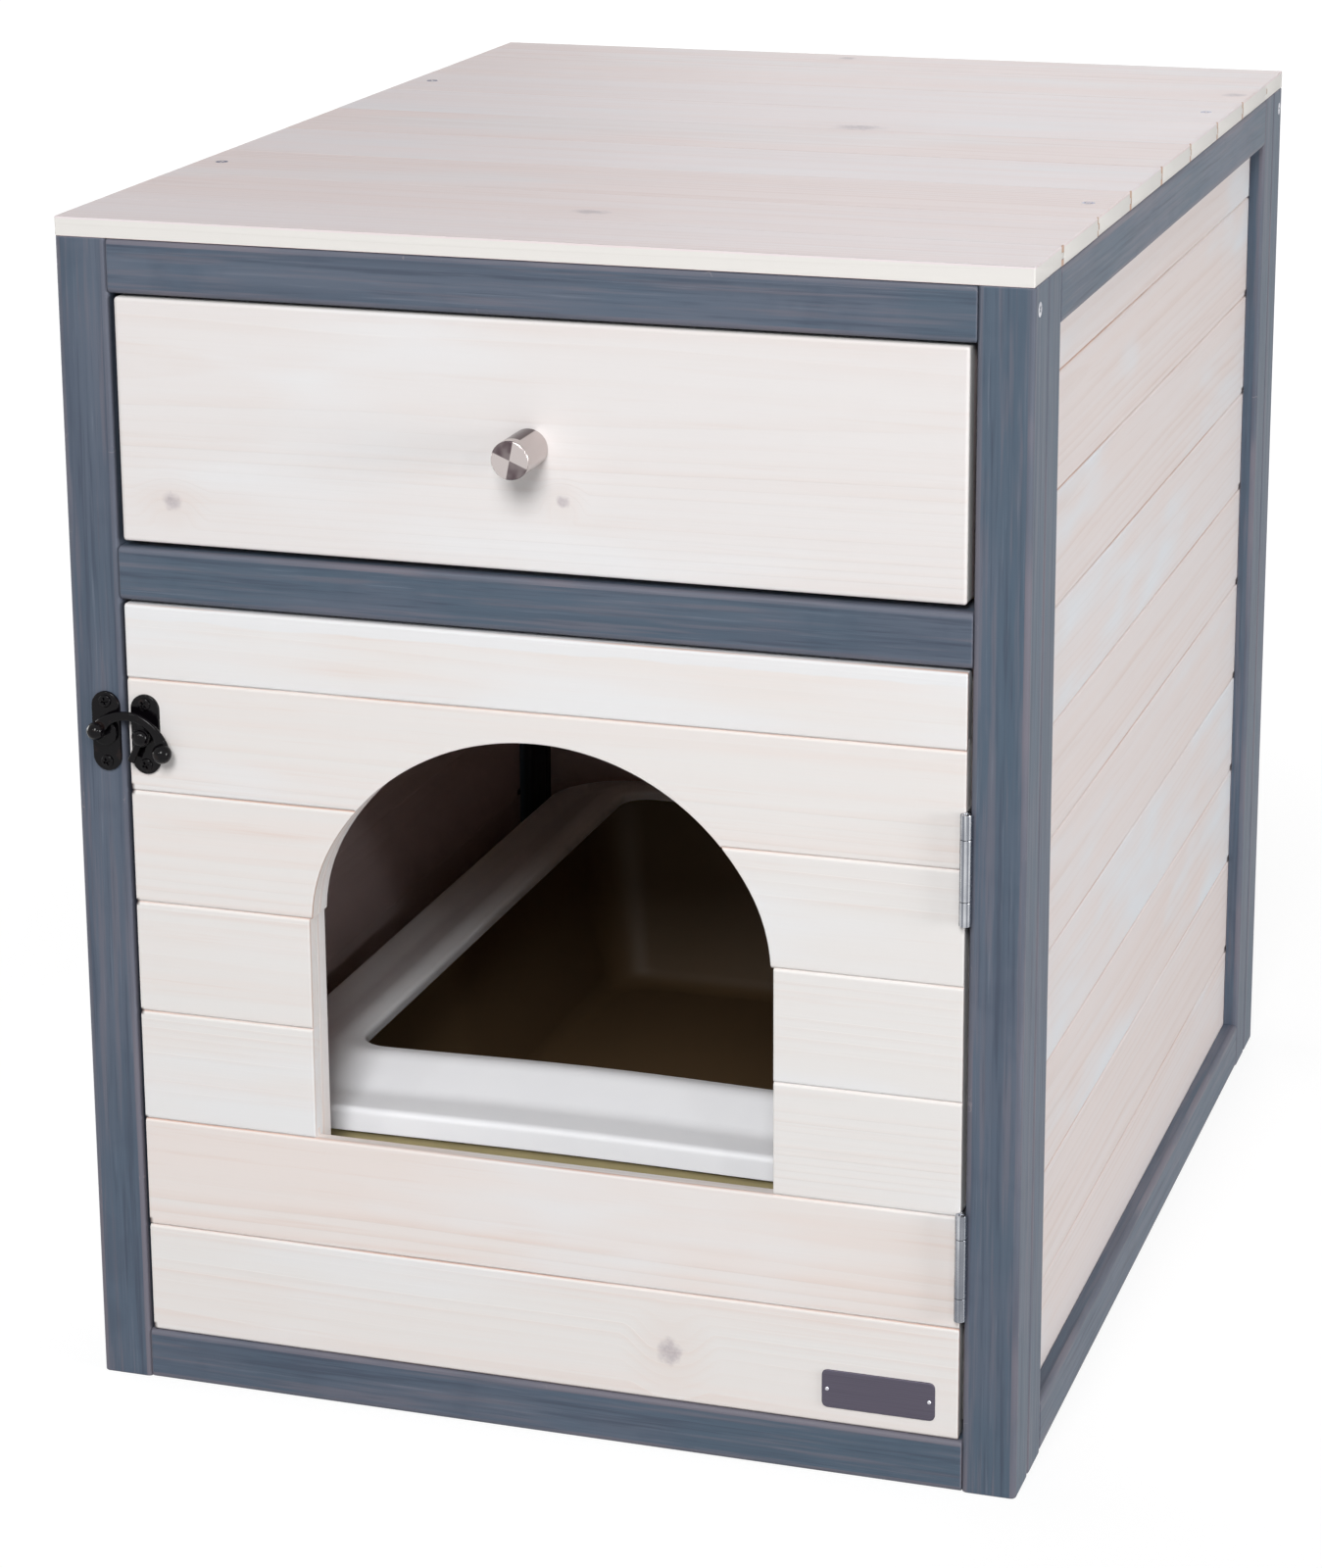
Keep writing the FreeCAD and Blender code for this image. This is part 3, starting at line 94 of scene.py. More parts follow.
# %% Camera
CAMERA_PLACE = (0.602, -1.953, 0.8864)
CAMERA_ANGLES = (-18.02, 15.22, -0.38)
CAMERA_SHIFT = -0.12
FOCAL_PIXELS = 4241
LONG_SIDE_PIXELS = 1600
SENSOR_MM = 36


def camera_axes(heading, tilt, roll):
    """Columns right, up and back: the view turns by the heading about Z, looks down by the tilt,
    and then rolls about its own line of sight."""
    sight = np.array([math.sin(heading) * math.cos(tilt), math.cos(heading) * math.cos(tilt),
                      -math.sin(tilt)])
    level = np.array([math.cos(heading), -math.sin(heading), 0])
    above = np.cross(level, sight)
    right = math.cos(roll) * level + math.sin(roll) * above
    up = math.cos(roll) * above - math.sin(roll) * level
    return np.column_stack([right, up, -sight])


lens = bpy.data.cameras.new("camera")
lens.sensor_width = SENSOR_MM
lens.lens = FOCAL_PIXELS / LONG_SIDE_PIXELS * SENSOR_MM
lens.shift_y = CAMERA_SHIFT
camera = bpy.data.objects.new("camera", lens)
collection.objects.link(camera)
stand = np.eye(4)
stand[:3, :3] = camera_axes(*np.radians(CAMERA_ANGLES))
stand[:3, 3] = CAMERA_PLACE
camera.matrix_world = Matrix(stand.tolist())
bpy.context.scene.camera = camera
print("lens", round(lens.lens, 1), "mm")

# %% [markdown]
# ## Shader arithmetic
# A finish is a graph of nodes, but it reads best as a formula. One small class wraps a socket and
# overloads the operators, so that `1 - mask * 0.4` adds its Math nodes by itself. Every other
# node comes from one method: it takes the node's type, its settings and its inputs.

# %% A value and a finish
def linear(*levels):
    """A screen colour with levels from 0 to 255 as the linear colour that a shader wants."""
    level = np.array(levels) / 255
    curve = np.where(level <= 0.04045, level / 12.92, ((level + 0.055) / 1.055) ** 2.4)
    return (*curve.tolist(), 1.0)


class Value:
    """A socket whose number varies over the surface."""

    def __init__(self, finish, socket):
        self.finish = finish
        self.socket = socket

    def __add__(self, other):
        return self.finish.math("ADD", self, other)

    def __radd__(self, other):
        return self.finish.math("ADD", other, self)

    def __sub__(self, other):
        return self.finish.math("SUBTRACT", self, other)

    def __rsub__(self, other):
        return self.finish.math("SUBTRACT", other, self)

    def __mul__(self, other):
        return self.finish.math("MULTIPLY", self, other)

    def __rmul__(self, other):
        return self.finish.math("MULTIPLY", other, self)

    def __truediv__(self, other):
        return self.finish.math("DIVIDE", self, other)

    def __pow__(self, other):
        return self.finish.math("POWER", self, other)


class Finish:
    """A material that is written as a formula."""

    def __init__(self, name):
        self.material = bpy.data.materials.new(name)
        self.material.use_nodes = True
        self.tree = self.material.node_tree
        self.tree.nodes.clear()

    def node(self, kind, settings=None, inputs=None, output=0):
        """Add a node: settings go on the node first, then inputs are linked or set by name."""
        made = self.tree.nodes.new("ShaderNode" + kind)
        for key, setting in (settings or {}).items():
            setattr(made, key, setting)
        for key, given in (inputs or {}).items():
            socket = next(s for s in made.inputs if s.identifier == key or s.name == key)
            if isinstance(given, Value):
                self.tree.links.new(given.socket, socket)
            elif given is not None:
                socket.default_value = given
        found = made.outputs[output] if isinstance(output, int) else next(
            s for s in made.outputs if s.identifier == output or s.name == output)
        return Value(self, found)

    def math(self, operation, *values):
        names = ("Value", "Value_001", "Value_002")
        return self.node("Math", {"operation": operation}, dict(zip(names, values)))

    def mix(self, share, first, second, blend="MIX"):
        """A colour that goes from the first to the second as the share goes from 0 to 1."""
        return self.node("Mix", {"data_type": "RGBA", "blend_type": blend},
                         {"Factor_Float": share, "A_Color": first, "B_Color": second},
                         "Result_Color")

    def ramp(self, value, low, high, start=0.0, end=1.0):
        """An S-shaped step: the value is start below low and end above high."""
        return self.node("MapRange", {"interpolation_type": "SMOOTHSTEP"},
                         {"Value": value, "From Min": low, "From Max": high,
                          "To Min": start, "To Max": end})

    def vector(self, x, y, z):
        return self.node("CombineXYZ", None, {"X": x, "Y": y, "Z": z})

    def split(self, vector):
        made = self.node("SeparateXYZ", None, {"Vector": vector})
        sockets = made.socket.node.outputs
        return [Value(self, sockets[i]) for i in range(3)]

    def noise(self, vector, scale=1.0, detail=2.0, rough=0.5):
        return self.node("TexNoise", None, {"Vector": vector, "Scale": scale, "Detail": detail,
                                            "Roughness": rough})

    def attribute(self, name):
        return self.split(self.node("Attribute", {"attribute_name": name}, None, "Vector"))

    def place(self):
        """The point's place in the object, in metres."""
        return self.node("TexCoord", None, None, "Object")

    def spot(self, place, centre, reach, ragged=0.0):
        """A soft blob: 1 near its centre and 0 at its reach, which may differ along each axis.
        A ragged blob's outline wanders by that share of its reach."""
        away = self.node("VectorMath", {"operation": "SUBTRACT"},
                         {"Vector": place, "Vector_001": centre})
        share = self.node("VectorMath", {"operation": "DIVIDE"},
                          {"Vector": away, "Vector_001": reach})
        length = self.node("VectorMath", {"operation": "LENGTH"}, {"Vector": share}, "Value")
        if ragged:
            length = length + (self.noise(place, 260.0, 3.0) - 0.5) * ragged
        return self.ramp(length, 0.25, 1.0, 1.0, 0.0)

    def finish(self, colour, roughness, relief=None, depth=0.0002, **constants):
        """Wire the shader. Relief is a height from 0 to 1, and depth its real size. The
        constants are the shader's own sockets, with spaces written as underscores."""
        inputs = {"Base Color": colour, "Roughness": roughness}
        if relief is not None:
            inputs["Normal"] = self.node("Bump", None, {"Height": relief, "Distance": depth,
                                                        "Strength": 1.0})
        for key, level in constants.items():
            inputs[key.replace("_", " ")] = level
        self.show(self.node("BsdfPrincipled", None, inputs))
        return self.material

    def show(self, shader, output="Material"):
        """Link a shader to the tree's output."""
        end = self.tree.nodes.new("ShaderNodeOutput" + output)
        self.tree.links.new(shader.socket, end.inputs["Surface"])


print("a screen grey of 128 is", round(linear(128)[0], 3), "in light")

# %% [markdown]
# ## Light, backdrop and floor
# In the photograph one soft lamp stands in front and above, and lights the tray's rim through the
# entrance as brightly as the door. A second one, low and far round to the right, lights the right
# side and grazes into the entrance. Two more give the other sides that level, and two small sparks
# show in the glossy metal. All together they light the object at a plain level, so that a colour
# renders about as it is written. The white ground comes from what the camera's rays see.

# %% World and lamps
AMBIENT = 0.135
SKY_TINT = (1.0, 0.995, 0.99, 1.0)
WHITE = (1.0, 1.0, 1.0, 1.0)
LAMPS = {
    "key": {"place": (0.65, -4.5, 3.35), "size": 1.9, "watts": 208},
    "right": {"place": (4.2, -1.13, 0.85), "size": 1.3, "watts": 86},
    "left": {"place": (-3.0, 0.6, 0.75), "size": 1.4, "watts": 40},
    "back": {"place": (-0.4, 3.2, 0.75), "size": 1.4, "watts": 44},
    "left_spark": {"place": (-1.3, -3.4, 2.1), "size": 0.14, "watts": 5},
    "right_spark": {"place": (2.4, -3.0, 1.6), "size": 0.16, "watts": 6},
}


class Ground(Finish):
    """The same formula writing for the world's own nodes."""

    def __init__(self, world):
        world.use_nodes = True
        self.tree = world.node_tree
        self.tree.nodes.clear()


world = bpy.data.worlds.new("studio")
bpy.context.scene.world = world
sky = Ground(world)
seen = sky.node("LightPath", None, None, "Is Camera Ray")
paths = seen.socket.node.outputs
shown = sky.math("MAXIMUM", seen, sky.math("MAXIMUM", Value(sky, paths["Is Glossy Ray"]),
                                           Value(sky, paths["Is Transmission Ray"])))
lit = sky.node("Background", None, {"Color": SKY_TINT, "Strength": AMBIENT})
white = sky.node("Background", None, {"Color": WHITE, "Strength": 1.0})
both = sky.node("MixShader", None, {"Fac": shown, "Shader": lit, "Shader_001": white})
sky.show(both, "World")

centre = np.array(cad_bounds).mean(0)
for name, lamp in LAMPS.items():
    light = bpy.data.lights.new(name, "AREA")
    light.shape = "SQUARE"
    light.size = lamp["size"]
    light.energy = lamp["watts"]
    holder = bpy.data.objects.new(name, light)
    collection.objects.link(holder)
    aim = centre - np.array(lamp["place"])
    turn = Vector(aim.tolist()).to_track_quat("-Z", "Y")
    holder.matrix_world = Matrix.Translation(lamp["place"]) @ turn.to_matrix().to_4x4()
bpy.context.scene.view_settings.view_transform = "Standard"
print(len(LAMPS), "lamps")

# %% [markdown]
# ## Floor
# The floor only has to catch a soft shadow. Its diffuse part takes the shadow, and an emission
# that only camera and mirror rays see keeps it as white as the backdrop. To light that it throws
# back on the cabinet it is a mid grey, or the cabinet would be lit from below.

# %% Floor
FLOOR_REACH = 9.0
FLOOR_SHARE = (0.78, 1.0)
SHADOW_REACH = (0.5, 1.5)
FLOOR_GLOW = 1.08
PAPER = (0.92, 0.92, 0.92, 1.0)
PAPER_BOUNCE = (0.36, 0.36, 0.36, 1.0)


def level_square(name, reach):
    """A flat square: x and y are each -reach or reach, at the level of the floor."""
    mesh = bpy.data.meshes.new(name)
    corner = np.array([[-1, -1, 0], [1, -1, 0], [1, 1, 0], [-1, 1, 0]]) * reach
    mesh.from_pydata(corner.tolist(), [], [(0, 1, 2, 3)])
    made = bpy.data.objects.new(name, mesh)
    collection.objects.link(made)
    return made


floor = level_square("floor", FLOOR_REACH)
paper = Finish("floor_paper")
ray = paper.node("LightPath", None, None, "Is Camera Ray")
mirror = Value(paper, ray.socket.node.outputs["Is Glossy Ray"])
looked_at = paper.math("MAXIMUM", ray, mirror)
soft = paper.node("BsdfDiffuse", None, {"Color": paper.mix(looked_at, PAPER_BOUNCE, PAPER)})
glow = paper.node("Emission", None, {"Color": WHITE, "Strength": FLOOR_GLOW})
away = paper.node("VectorMath", {"operation": "LENGTH"}, {"Vector": paper.place()}, "Value")
white_share = looked_at * paper.ramp(away, *SHADOW_REACH, *FLOOR_SHARE)
blended = paper.node("MixShader", None, {"Fac": white_share, "Shader": soft, "Shader_001": glow})
paper.show(blended)
floor.data.materials.append(paper.material)
print("floor", FLOOR_REACH * 2, "m wide")

# %% [markdown]
# ## Skins worked out as arrays
# Nearly every piece here is a section carried along a line: a timber, a board, a plate, a bow. The
# Bevel modifier could round a box, but a carried section also gives each point its place along
# and across the grain, which the wood finishes need. So a skin is an array of rings, station by
# station, and one class turns it into quads, closes its ends and makes sure that it faces out.

# %% Outlines
def rounded(corners, radii, steps=3, support=0.3):
    """A closed outline with eased corners. A corner c gives way to the curve
    a(1-t)^2 + 2ct(1-t) + bt^2, where a and b lie one radius away on its two sides, and a point
    just outside each end of the curve keeps the flats flat. Also returns 1 on curves, else 0."""
    corners = np.asarray(corners, float)
    radii = np.broadcast_to(radii, len(corners))
    points, worn = [], []
    for corner, last, after, radius in zip(corners, np.roll(corners, 1, 0),
                                           np.roll(corners, -1, 0), radii):
        if radius == 0:
            points.append(corner[None])
            worn.append([0.0])
            continue
        back = (last - corner) / np.linalg.norm(last - corner)
        ahead = (after - corner) / np.linalg.norm(after - corner)
        t = np.linspace(0, 1, steps + 1)[:, None]
        curve = ((corner + back * radius) * (1 - t) ** 2 + 2 * corner * t * (1 - t)
                 + (corner + ahead * radius) * t ** 2)
        margin = radius + min(support, radius)
        points.append(np.vstack([corner + back * margin, curve, corner + ahead * margin]))
        worn.append([0.0] + [1.0] * (steps + 1) + [0.0])
    return np.vstack(points), np.concatenate(worn)


def eased(start, end, ease, steps=3):
    """Places along a length, and how far the section is drawn in at each: a quarter circle at
    both ends, so the place is ease(1 - cos u) and the inset ease(1 - sin u)."""
    if ease == 0:
        return np.array([start, end], float), np.zeros(2)
    turn = np.linspace(0, math.pi / 2, steps + 1)
    near = np.append(ease * (1 - np.cos(turn)), ease * 1.5)
    inset = np.append(ease * (1 - np.sin(turn)), 0)
    return np.append(start + near, end - near[::-1]), np.append(inset, inset[::-1])


def drawn_in(outline, inset):
    """An outline that has shrunk about its middle: each point's distance to the middle is
    multiplied by 1 - inset / half size. Several insets give a stack of outlines."""
    middle = (outline.min(0) + outline.max(0)) / 2
    half = (outline.max(0) - outline.min(0)) / 2
    return middle + (outline - middle) * (1 - np.asarray(inset)[..., None, None] / half)


def rectangle(low, high):
    """The four corners of a rectangle in the section's two directions."""
    return [(low[0], low[1]), (high[0], low[1]), (high[0], high[1]), (low[0], high[1])]


square = rounded(rectangle((0, 0), (25, 25)), 2.5)[0]
print("a 25 mm square eased by 2.5 mm has", len(square), "points")

# %% [markdown]
# ## Rings into closed skins
# A grid of quads needs only the index of each point, and that is one `arange` in the grid's own
# shape: its neighbour around is the same array rolled by one. The alternative, a bmesh that is
# bridged ring by ring, is slower and says less. Each point also keeps the numbers that its finish
# reads: its place in the grain, the board it belongs to, and how much of a worn edge it is; on the
# pan the same number marks its inner wall for painted shade.

# %% Rings into closed skins
POINT_FIELDS = {"grain": ("FLOAT_VECTOR", "vector", 3), "board": ("FLOAT_VECTOR", "vector", 3),
                "edge": ("FLOAT", "value", 1)}


class Shells:
    """The closed skins of one piece, in millimetres, and the numbers that its finish reads."""

    def __init__(self):
        self.points = []
        self.faces = []
        self.fields = {name: [] for name in POINT_FIELDS}
        self.count = 0

    def add(self, rings, closed=False, grain=None, board=(0, 0, 0), edge=0.0):
        """Join ring to ring with quads. The first and last ring get a cap, or join each other
        where closed. The sum of a.(b x c) over its triangles is six times its volume: where
        that is negative, the skin faces inwards and its faces are turned round."""
        rings = np.asarray(rings, float)
        stations, around = rings.shape[:2]
        index = np.arange(stations * around).reshape(stations, around)
        wrapped = np.vstack([index, index[:1]]) if closed else index
        low, high = wrapped[:-1], wrapped[1:]
        quads = np.stack([low, np.roll(low, -1, 1), np.roll(high, -1, 1), high], -1)
        quads = quads.reshape(-1, 4)
        flat = rings.reshape(-1, 3)
        a, b, c, d = (flat[quads[:, corner]] for corner in range(4))
        volume = np.einsum("ij,ij", a, np.cross(b, c)) + np.einsum("ij,ij", a, np.cross(c, d))
        faces = quads.tolist()
        if not closed:
            faces += [index[0][::-1].tolist(), index[-1].tolist()]
            for ring, sign in ((rings[0], -1), (rings[-1], 1)):
                hub = np.broadcast_to(ring.mean(0), ring.shape)
                volume += sign * np.einsum("ij,ij", hub, np.cross(ring, np.roll(ring, -1, 0)))
        turn = -1 if volume < 0 else 1
        self.faces += [[corner + self.count for corner in face[::turn]] for face in faces]
        self.points.append(flat)
        shape = (stations, around)
        grain = rings * MM if grain is None else grain
        self.fields["grain"].append(np.broadcast_to(grain, shape + (3,)).reshape(-1, 3))
        self.fields["board"].append(np.broadcast_to(board, shape + (3,)).reshape(-1, 3))
        self.fields["edge"].append(np.broadcast_to(edge, shape).reshape(-1, 1))
        self.count += len(flat)


print("fields on every point:", ", ".join(POINT_FIELDS))

# %% [markdown]
# ## A piece from its skins
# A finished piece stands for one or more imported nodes. Its points go into the mesh at their real
# place, so its object stays at the origin, and it rides with the body of the node it stands for.
# Shading is smooth but for creases, which keeps eased edges round and sawn ends crisp.

# %% A piece from its skins
def piece(name, shells, nodes, finish, crease=35):
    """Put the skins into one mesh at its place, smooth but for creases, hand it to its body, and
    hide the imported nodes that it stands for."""
    material, slot, suffix = finish
    mesh = bpy.data.meshes.new(name + suffix)
    mesh.from_pydata((np.vstack(shells.points) * MM).tolist(), [], shells.faces)
    for field, (kind, key, width) in POINT_FIELDS.items():
        attribute = mesh.attributes.new(field, kind, "POINT")
        values = np.vstack(shells.fields[field]).astype(np.float32)
        attribute.data.foreach_set(key, values.ravel())
    mesh.polygons.foreach_set("use_smooth", np.ones(len(mesh.polygons), bool))
    mesh.set_sharp_from_angle(angle=math.radians(crease))
    mesh.materials.append(material)
    made = bpy.data.objects.new(name + suffix, mesh)
    collection.objects.link(made)
    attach(made, frame["nodes"][nodes[0]]["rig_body"])
    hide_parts(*nodes)
    print(name + suffix, len(shells.faces), "faces")
    return made


def box_mm(node):
    """A node's lowest and highest corners in millimetres."""
    return tuple(np.array(corner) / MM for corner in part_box(node))


print("the cabinet's nodes:", len(frame["nodes"]))

# %% [markdown]
# ## Sticks and boards
# Timber has a direction. Every stick is written in its own terms, l along it, w across its face
# and d from the face inwards, and a lay says where these three point in the cabinet. The same
# three numbers, shifted by a random length so that no two boards match, become its grain.

# %% Lays
HEADINGS = {"X": (1, 0, 0), "Y": (0, 1, 0), "Z": (0, 0, 1), "-X": (-1, 0, 0), "-Y": (0, -1, 0),
            "-Z": (0, 0, -1)}


class Lay:
    """Where a stick's three directions point, and where they start."""

    def __init__(self, along, across, inwards, start=(0, 0, 0)):
        self.turn = np.array([HEADINGS[along], HEADINGS[across], HEADINGS[inwards]], float)
        self.start = np.array(start, float)

    def world(self, local):
        return self.start + local @ self.turn


print("headings", ", ".join(HEADINGS))

# %% [markdown]
# ## Sawing a stick
# No two boards of a real cabinet come from the same place in a tree. So each stick draws where it
# was sawn, from one seeded generator, and its points keep that with them. Its ends are eased by
# drawing the section in, as a sanding block would do.

# %% Sticks
def draw_timber(width, heart=(12, 45)):
    """Draws where a stick was sawn from: how far along the tree, how far its heart lies to the
    side and behind the face, and a tint from 0 to 1."""
    shift = draws.uniform(0, 20)
    side = draws.uniform(-0.7, 0.7) * width * MM
    behind = draws.uniform(*heart) * MM
    return shift, (side, behind, draws.uniform(0, 1))


def local_rings(places, sections):
    """Stack sections (w, d), one for each place l, as points (l, w, d)."""
    sections = np.broadcast_to(sections, (len(places),) + sections.shape[-2:])
    along = np.broadcast_to(np.asarray(places)[:, None, None], sections.shape[:2] + (1,))
    return np.concatenate([along, sections], -1)


def add_local(shells, lay, local, edge=0.0, heart=(12, 45), tint=None):
    """Add a skin that is given in a stick's own terms. A tint given takes the drawn one's
    place."""
    low, high = local.reshape(-1, 3).min(0), local.reshape(-1, 3).max(0)
    shift, board = draw_timber(high[1] - low[1], heart)
    if tint is not None:
        board = (*board[:2], tint)
    middle = np.array([0, (low[1] + high[1]) / 2, 0])
    grain = (local - middle) * MM + np.array([shift, 0, 0])
    shells.add(lay.world(local), grain=grain, board=board, edge=edge)


def stick(shells, lay, outline, worn, start, end, ease=0.8, heart=(12, 45), tint=None):
    """Carry an outline (w, d) from start to end, drawn in near the ends to ease their edges."""
    places, insets = eased(start, end, ease)
    local = local_rings(places, drawn_in(outline, insets))
    edge = np.maximum(worn[None, :], (insets > 0)[:, None])
    add_local(shells, lay, local, edge, heart, tint)


def bar(node, along, finish, ease=0.6, corner=0.6):
    """A plain eased bar that fills its node's box, with its grain along one direction."""
    low, high = box_mm(node)
    order = {"X": (0, 2, 1), "Y": (1, 2, 0), "Z": (2, 0, 1)}[along]
    lay = Lay(along, "XYZ"[order[1]], "XYZ"[order[2]])
    outline, worn = rounded(rectangle(low[list(order[1:])], high[list(order[1:])]), corner)
    shells = Shells()
    stick(shells, lay, outline, worn, low[order[0]], high[order[0]], ease)
    return piece(node, shells, [node], finish)


print("a stick's ends are eased in", len(eased(0, 100, 0.8)[0]) // 2, "steps")

# %% [markdown]
# ## Wood
# A board's figure is where its face cuts the tree's rings. The rings are cylinders about a heart
# line, a little wavy, so a ring's number is the distance to the heart over the ring width. The
# last part of each ring is the harder, darker late wood. Fine fibres run along the board.

# %% Grain
def grain(f, ring_gap=0.0036, wave=0.012, knots=(), patch=(7, 16)):
    """The numbers that a wood finish is written with. late: late wood, 0 to 1, from the share of
    a ring, where a ring's number is sqrt(x^2 + y^2) over the ring gap. fibre, fine and streak:
    noise drawn out along the board, 1.4, 4 and 14 mm wide. cloud: patches. deep: metres below
    the face. tint: the board's own number. knot: how much of a knot a point lies in. bulge: how
    far the rings bend round it. edge: 1 on an eased edge."""
    along, across, deep = f.attribute("grain")
    from_middle = f.math("ABSOLUTE", across)
    side, behind, tint = f.attribute("board")
    drift = f.noise(f.vector(along * 1.7, across * 6, tint * 9), 1.0, 2.0) - 0.5
    sway = f.noise(f.vector(along * 0.9, across * 4, tint * 23 + 4), 1.0, 1.0) - 0.5
    x = across - side + sway * (wave * 2)
    y = deep + behind + drift * wave
    place = f.place()
    knot, bulge = None, None
    for centre, reach in knots:
        core = f.spot(place, centre, reach, 0.9)
        wide = f.spot(place, centre, tuple(size * 3.5 for size in reach))
        knot = core if knot is None else f.math("MAXIMUM", knot, core)
        bulge = wide if bulge is None else bulge + wide
    radius = (x * x + y * y) ** 0.5
    if bulge is not None:
        radius = radius + bulge * 0.007
    number = radius / ring_gap
    share = f.math("FRACT", number)
    late = f.ramp(share, 0.35, 0.90) * f.ramp(share, 0.92, 1.0, 1.0, 0.0)
    strength = f.noise(f.vector(f.math("FLOOR", number) * 5.3, tint * 40, along * 0.8), 1.0, 0.0)
    fibre = f.noise(f.vector(along * 16, across * 700, deep * 700), 1.0, 3.0, 0.6)
    fine = f.noise(f.vector(along * 8, across * 250, deep * 250 + tint * 50), 1.0, 3.0, 0.65)
    streak = f.noise(f.vector(along * 2.6, across * 70, deep * 70 + tint * 30), 1.0, 3.0, 0.6)
    cloud = f.noise(f.vector(along * patch[0], across * patch[1], deep * patch[1] + tint * 17),
                    1.0, 3.0, 0.6)
    edge = f.attribute("edge")[0]
    return {"late": late * f.ramp(strength, 0.30, 0.72, 0.15, 1.0), "fibre": fibre, "fine": fine,
            "streak": streak, "cloud": cloud, "deep": deep, "tint": tint, "knot": knot,
            "bulge": bulge, "along": along, "from_middle": from_middle, "edge": edge}


print("rings 3.6 mm apart cross a 54 mm board about", round(54 / 3.6), "times")

# %% [markdown]
# ## Whitewash
# The boards carry one thin coat of white, brushed along the grain. White mixed evenly over pine
# would look like fog, so the coat is written as a brush leaves it: thin in broad streaks, where
# a blush of pine and its lines come through, and thick in a few patches. The brush never reached
# into the seams, and the backs have a tone of their own. Where the seams run into the dark at a
# panel's end, their shade is painted in.

# %% Whitewash
INSIDE = linear(236, 213, 212)
# painted shade at the ends of the seams
NOTCH_SHADE = linear(58, 44, 46)
SEAM = linear(206, 164, 144)
KNOT_GREY = linear(168, 158, 166)
SEAM_START = (0.0003, 0.0009)
SEAM_END = (0.0014, 0.0022)
BACK_DEPTH = (0.0086, 0.0089)
NOTCH_SHADE_REACH = 0.012


def whitewash(name, wash, blush, line, thick, patches=0.7, knots=(), edge=None, band=None,
              notch=None, back=INSIDE):
    """Thin white paint on pine. The blush of bare wood shows through broad streaks, most on
    boards with a high tint, fine lines and late wood show where the paint is thin, and thick
    paint lies in patches. Above a band's level the paint is thick all over. An edge colour takes
    the sides of a board that has no seams. A notch is painted shade, darker where the seams end in
    the dark: an axis, where that starts, where it is full, half a board's width, and its colour."""
    f = Finish(name)
    g = grain(f, knots=knots, patch=(3.4, 13))
    thin = f.ramp(g["streak"] * 0.8 + g["tint"] * 0.5, 0.40, 0.95)
    colour = f.mix(thin * 0.85, wash, blush)
    marks = (g["late"] * 0.34 + f.ramp(g["fine"], 0.55, 0.74) * 0.30
             + f.ramp(g["fibre"], 0.58, 0.80) * 0.16)
    colour = f.mix(marks * (0.35 + thin * 0.75), colour, line)
    colour = f.mix(f.ramp(g["cloud"], 0.50, 0.70) * patches, colour, thick)
    if g["knot"] is not None:
        mottle = f.noise(f.place(), 900.0, 2.0)
        colour = f.mix(g["bulge"] * 0.16, colour, line)
        colour = f.mix(g["knot"] * (0.25 + mottle * 0.6), colour, KNOT_GREY)
    if band is not None:
        height = f.split(f.place())[2]
        ripple = (f.noise(f.vector(g["along"] * 22, 0.0, 0.0), 1.0, 3.0) - 0.5) * 0.006
        colour = f.mix(f.ramp(height + ripple, band - 0.0006, band + 0.0006) * 0.8, colour, thick)
    if edge is not None:
        colour = f.mix(f.ramp(g["deep"], 0.0006, 0.0014), colour, edge)
    else:
        bare = f.ramp(f.noise(f.vector(g["along"] * 5, g["tint"] * 30, 0.0), 1.0, 2.0), 0.42, 0.62)
        seam = f.ramp(g["deep"], *SEAM_START) * f.ramp(g["deep"], *SEAM_END, 1.0, 0.0)
        colour = f.mix(seam * (0.08 + bare * 0.75), colour, SEAM)
    colour = f.mix(f.ramp(g["deep"], *BACK_DEPTH) * 0.85, colour, back)
    # painted shade where the seams run into the dark
    if notch is not None:
        axis, start, full, half, shade = notch
        along_axis = f.split(f.place())[axis]
        gone = full + math.copysign(NOTCH_SHADE_REACH, full - start)
        end = f.ramp(along_axis, start, full) * f.ramp(along_axis, full, gone, 1.0, 0.0)
        colour = f.mix(end * f.ramp(g["from_middle"], half - 0.0022, half - 0.0008), colour, shade)
    rough = 0.62 + (g["fibre"] - 0.5) * 0.2
    relief = g["fibre"] * 0.5 + g["late"] * 0.5
    return f.finish(colour, rough, relief, 0.00010, Specular_IOR_Level=0.3)


print("seams show from", SEAM_START[0] / MM, "to", SEAM_END[1] / MM, "mm below the face")

# %% [markdown]
# ## Stain
# The frame is stained, not painted, so its grain stays visible under a dusky blue-grey. Stain
# soaks in unevenly, and one colour with one noise would look printed. Here several noises, each of
# its own width and direction, push the colour a little way, and the rounded edges are rubbed.
# Inside the cabinet, towards the back, the stain is painted nearly black: painted shade.

# %% Stain
SLATE = linear(97, 106, 121)
SLATE_DARK = linear(74, 85, 101)
SLATE_BLUE = linear(80, 95, 112)
SLATE_DEEP = linear(60, 68, 84)
TEAL = linear(72, 90, 106)
# painted shade: nearly black, for the timbers inside the cabinet towards the back
PAINTED_SHADE = linear(26, 28, 33)
LATE_SLATE = linear(68, 76, 91)
FIBRE_GREY = linear(126, 134, 148)
DUSK = linear(114, 110, 120)
RUBBED = linear(136, 130, 136)
PAINTED_SHADE_SIDES = (0.2040, 0.2060)
PAINTED_SHADE_FRONT = (0.200, 0.210)
PAINTED_SHADE_REAR = (0.3095, 0.3110)


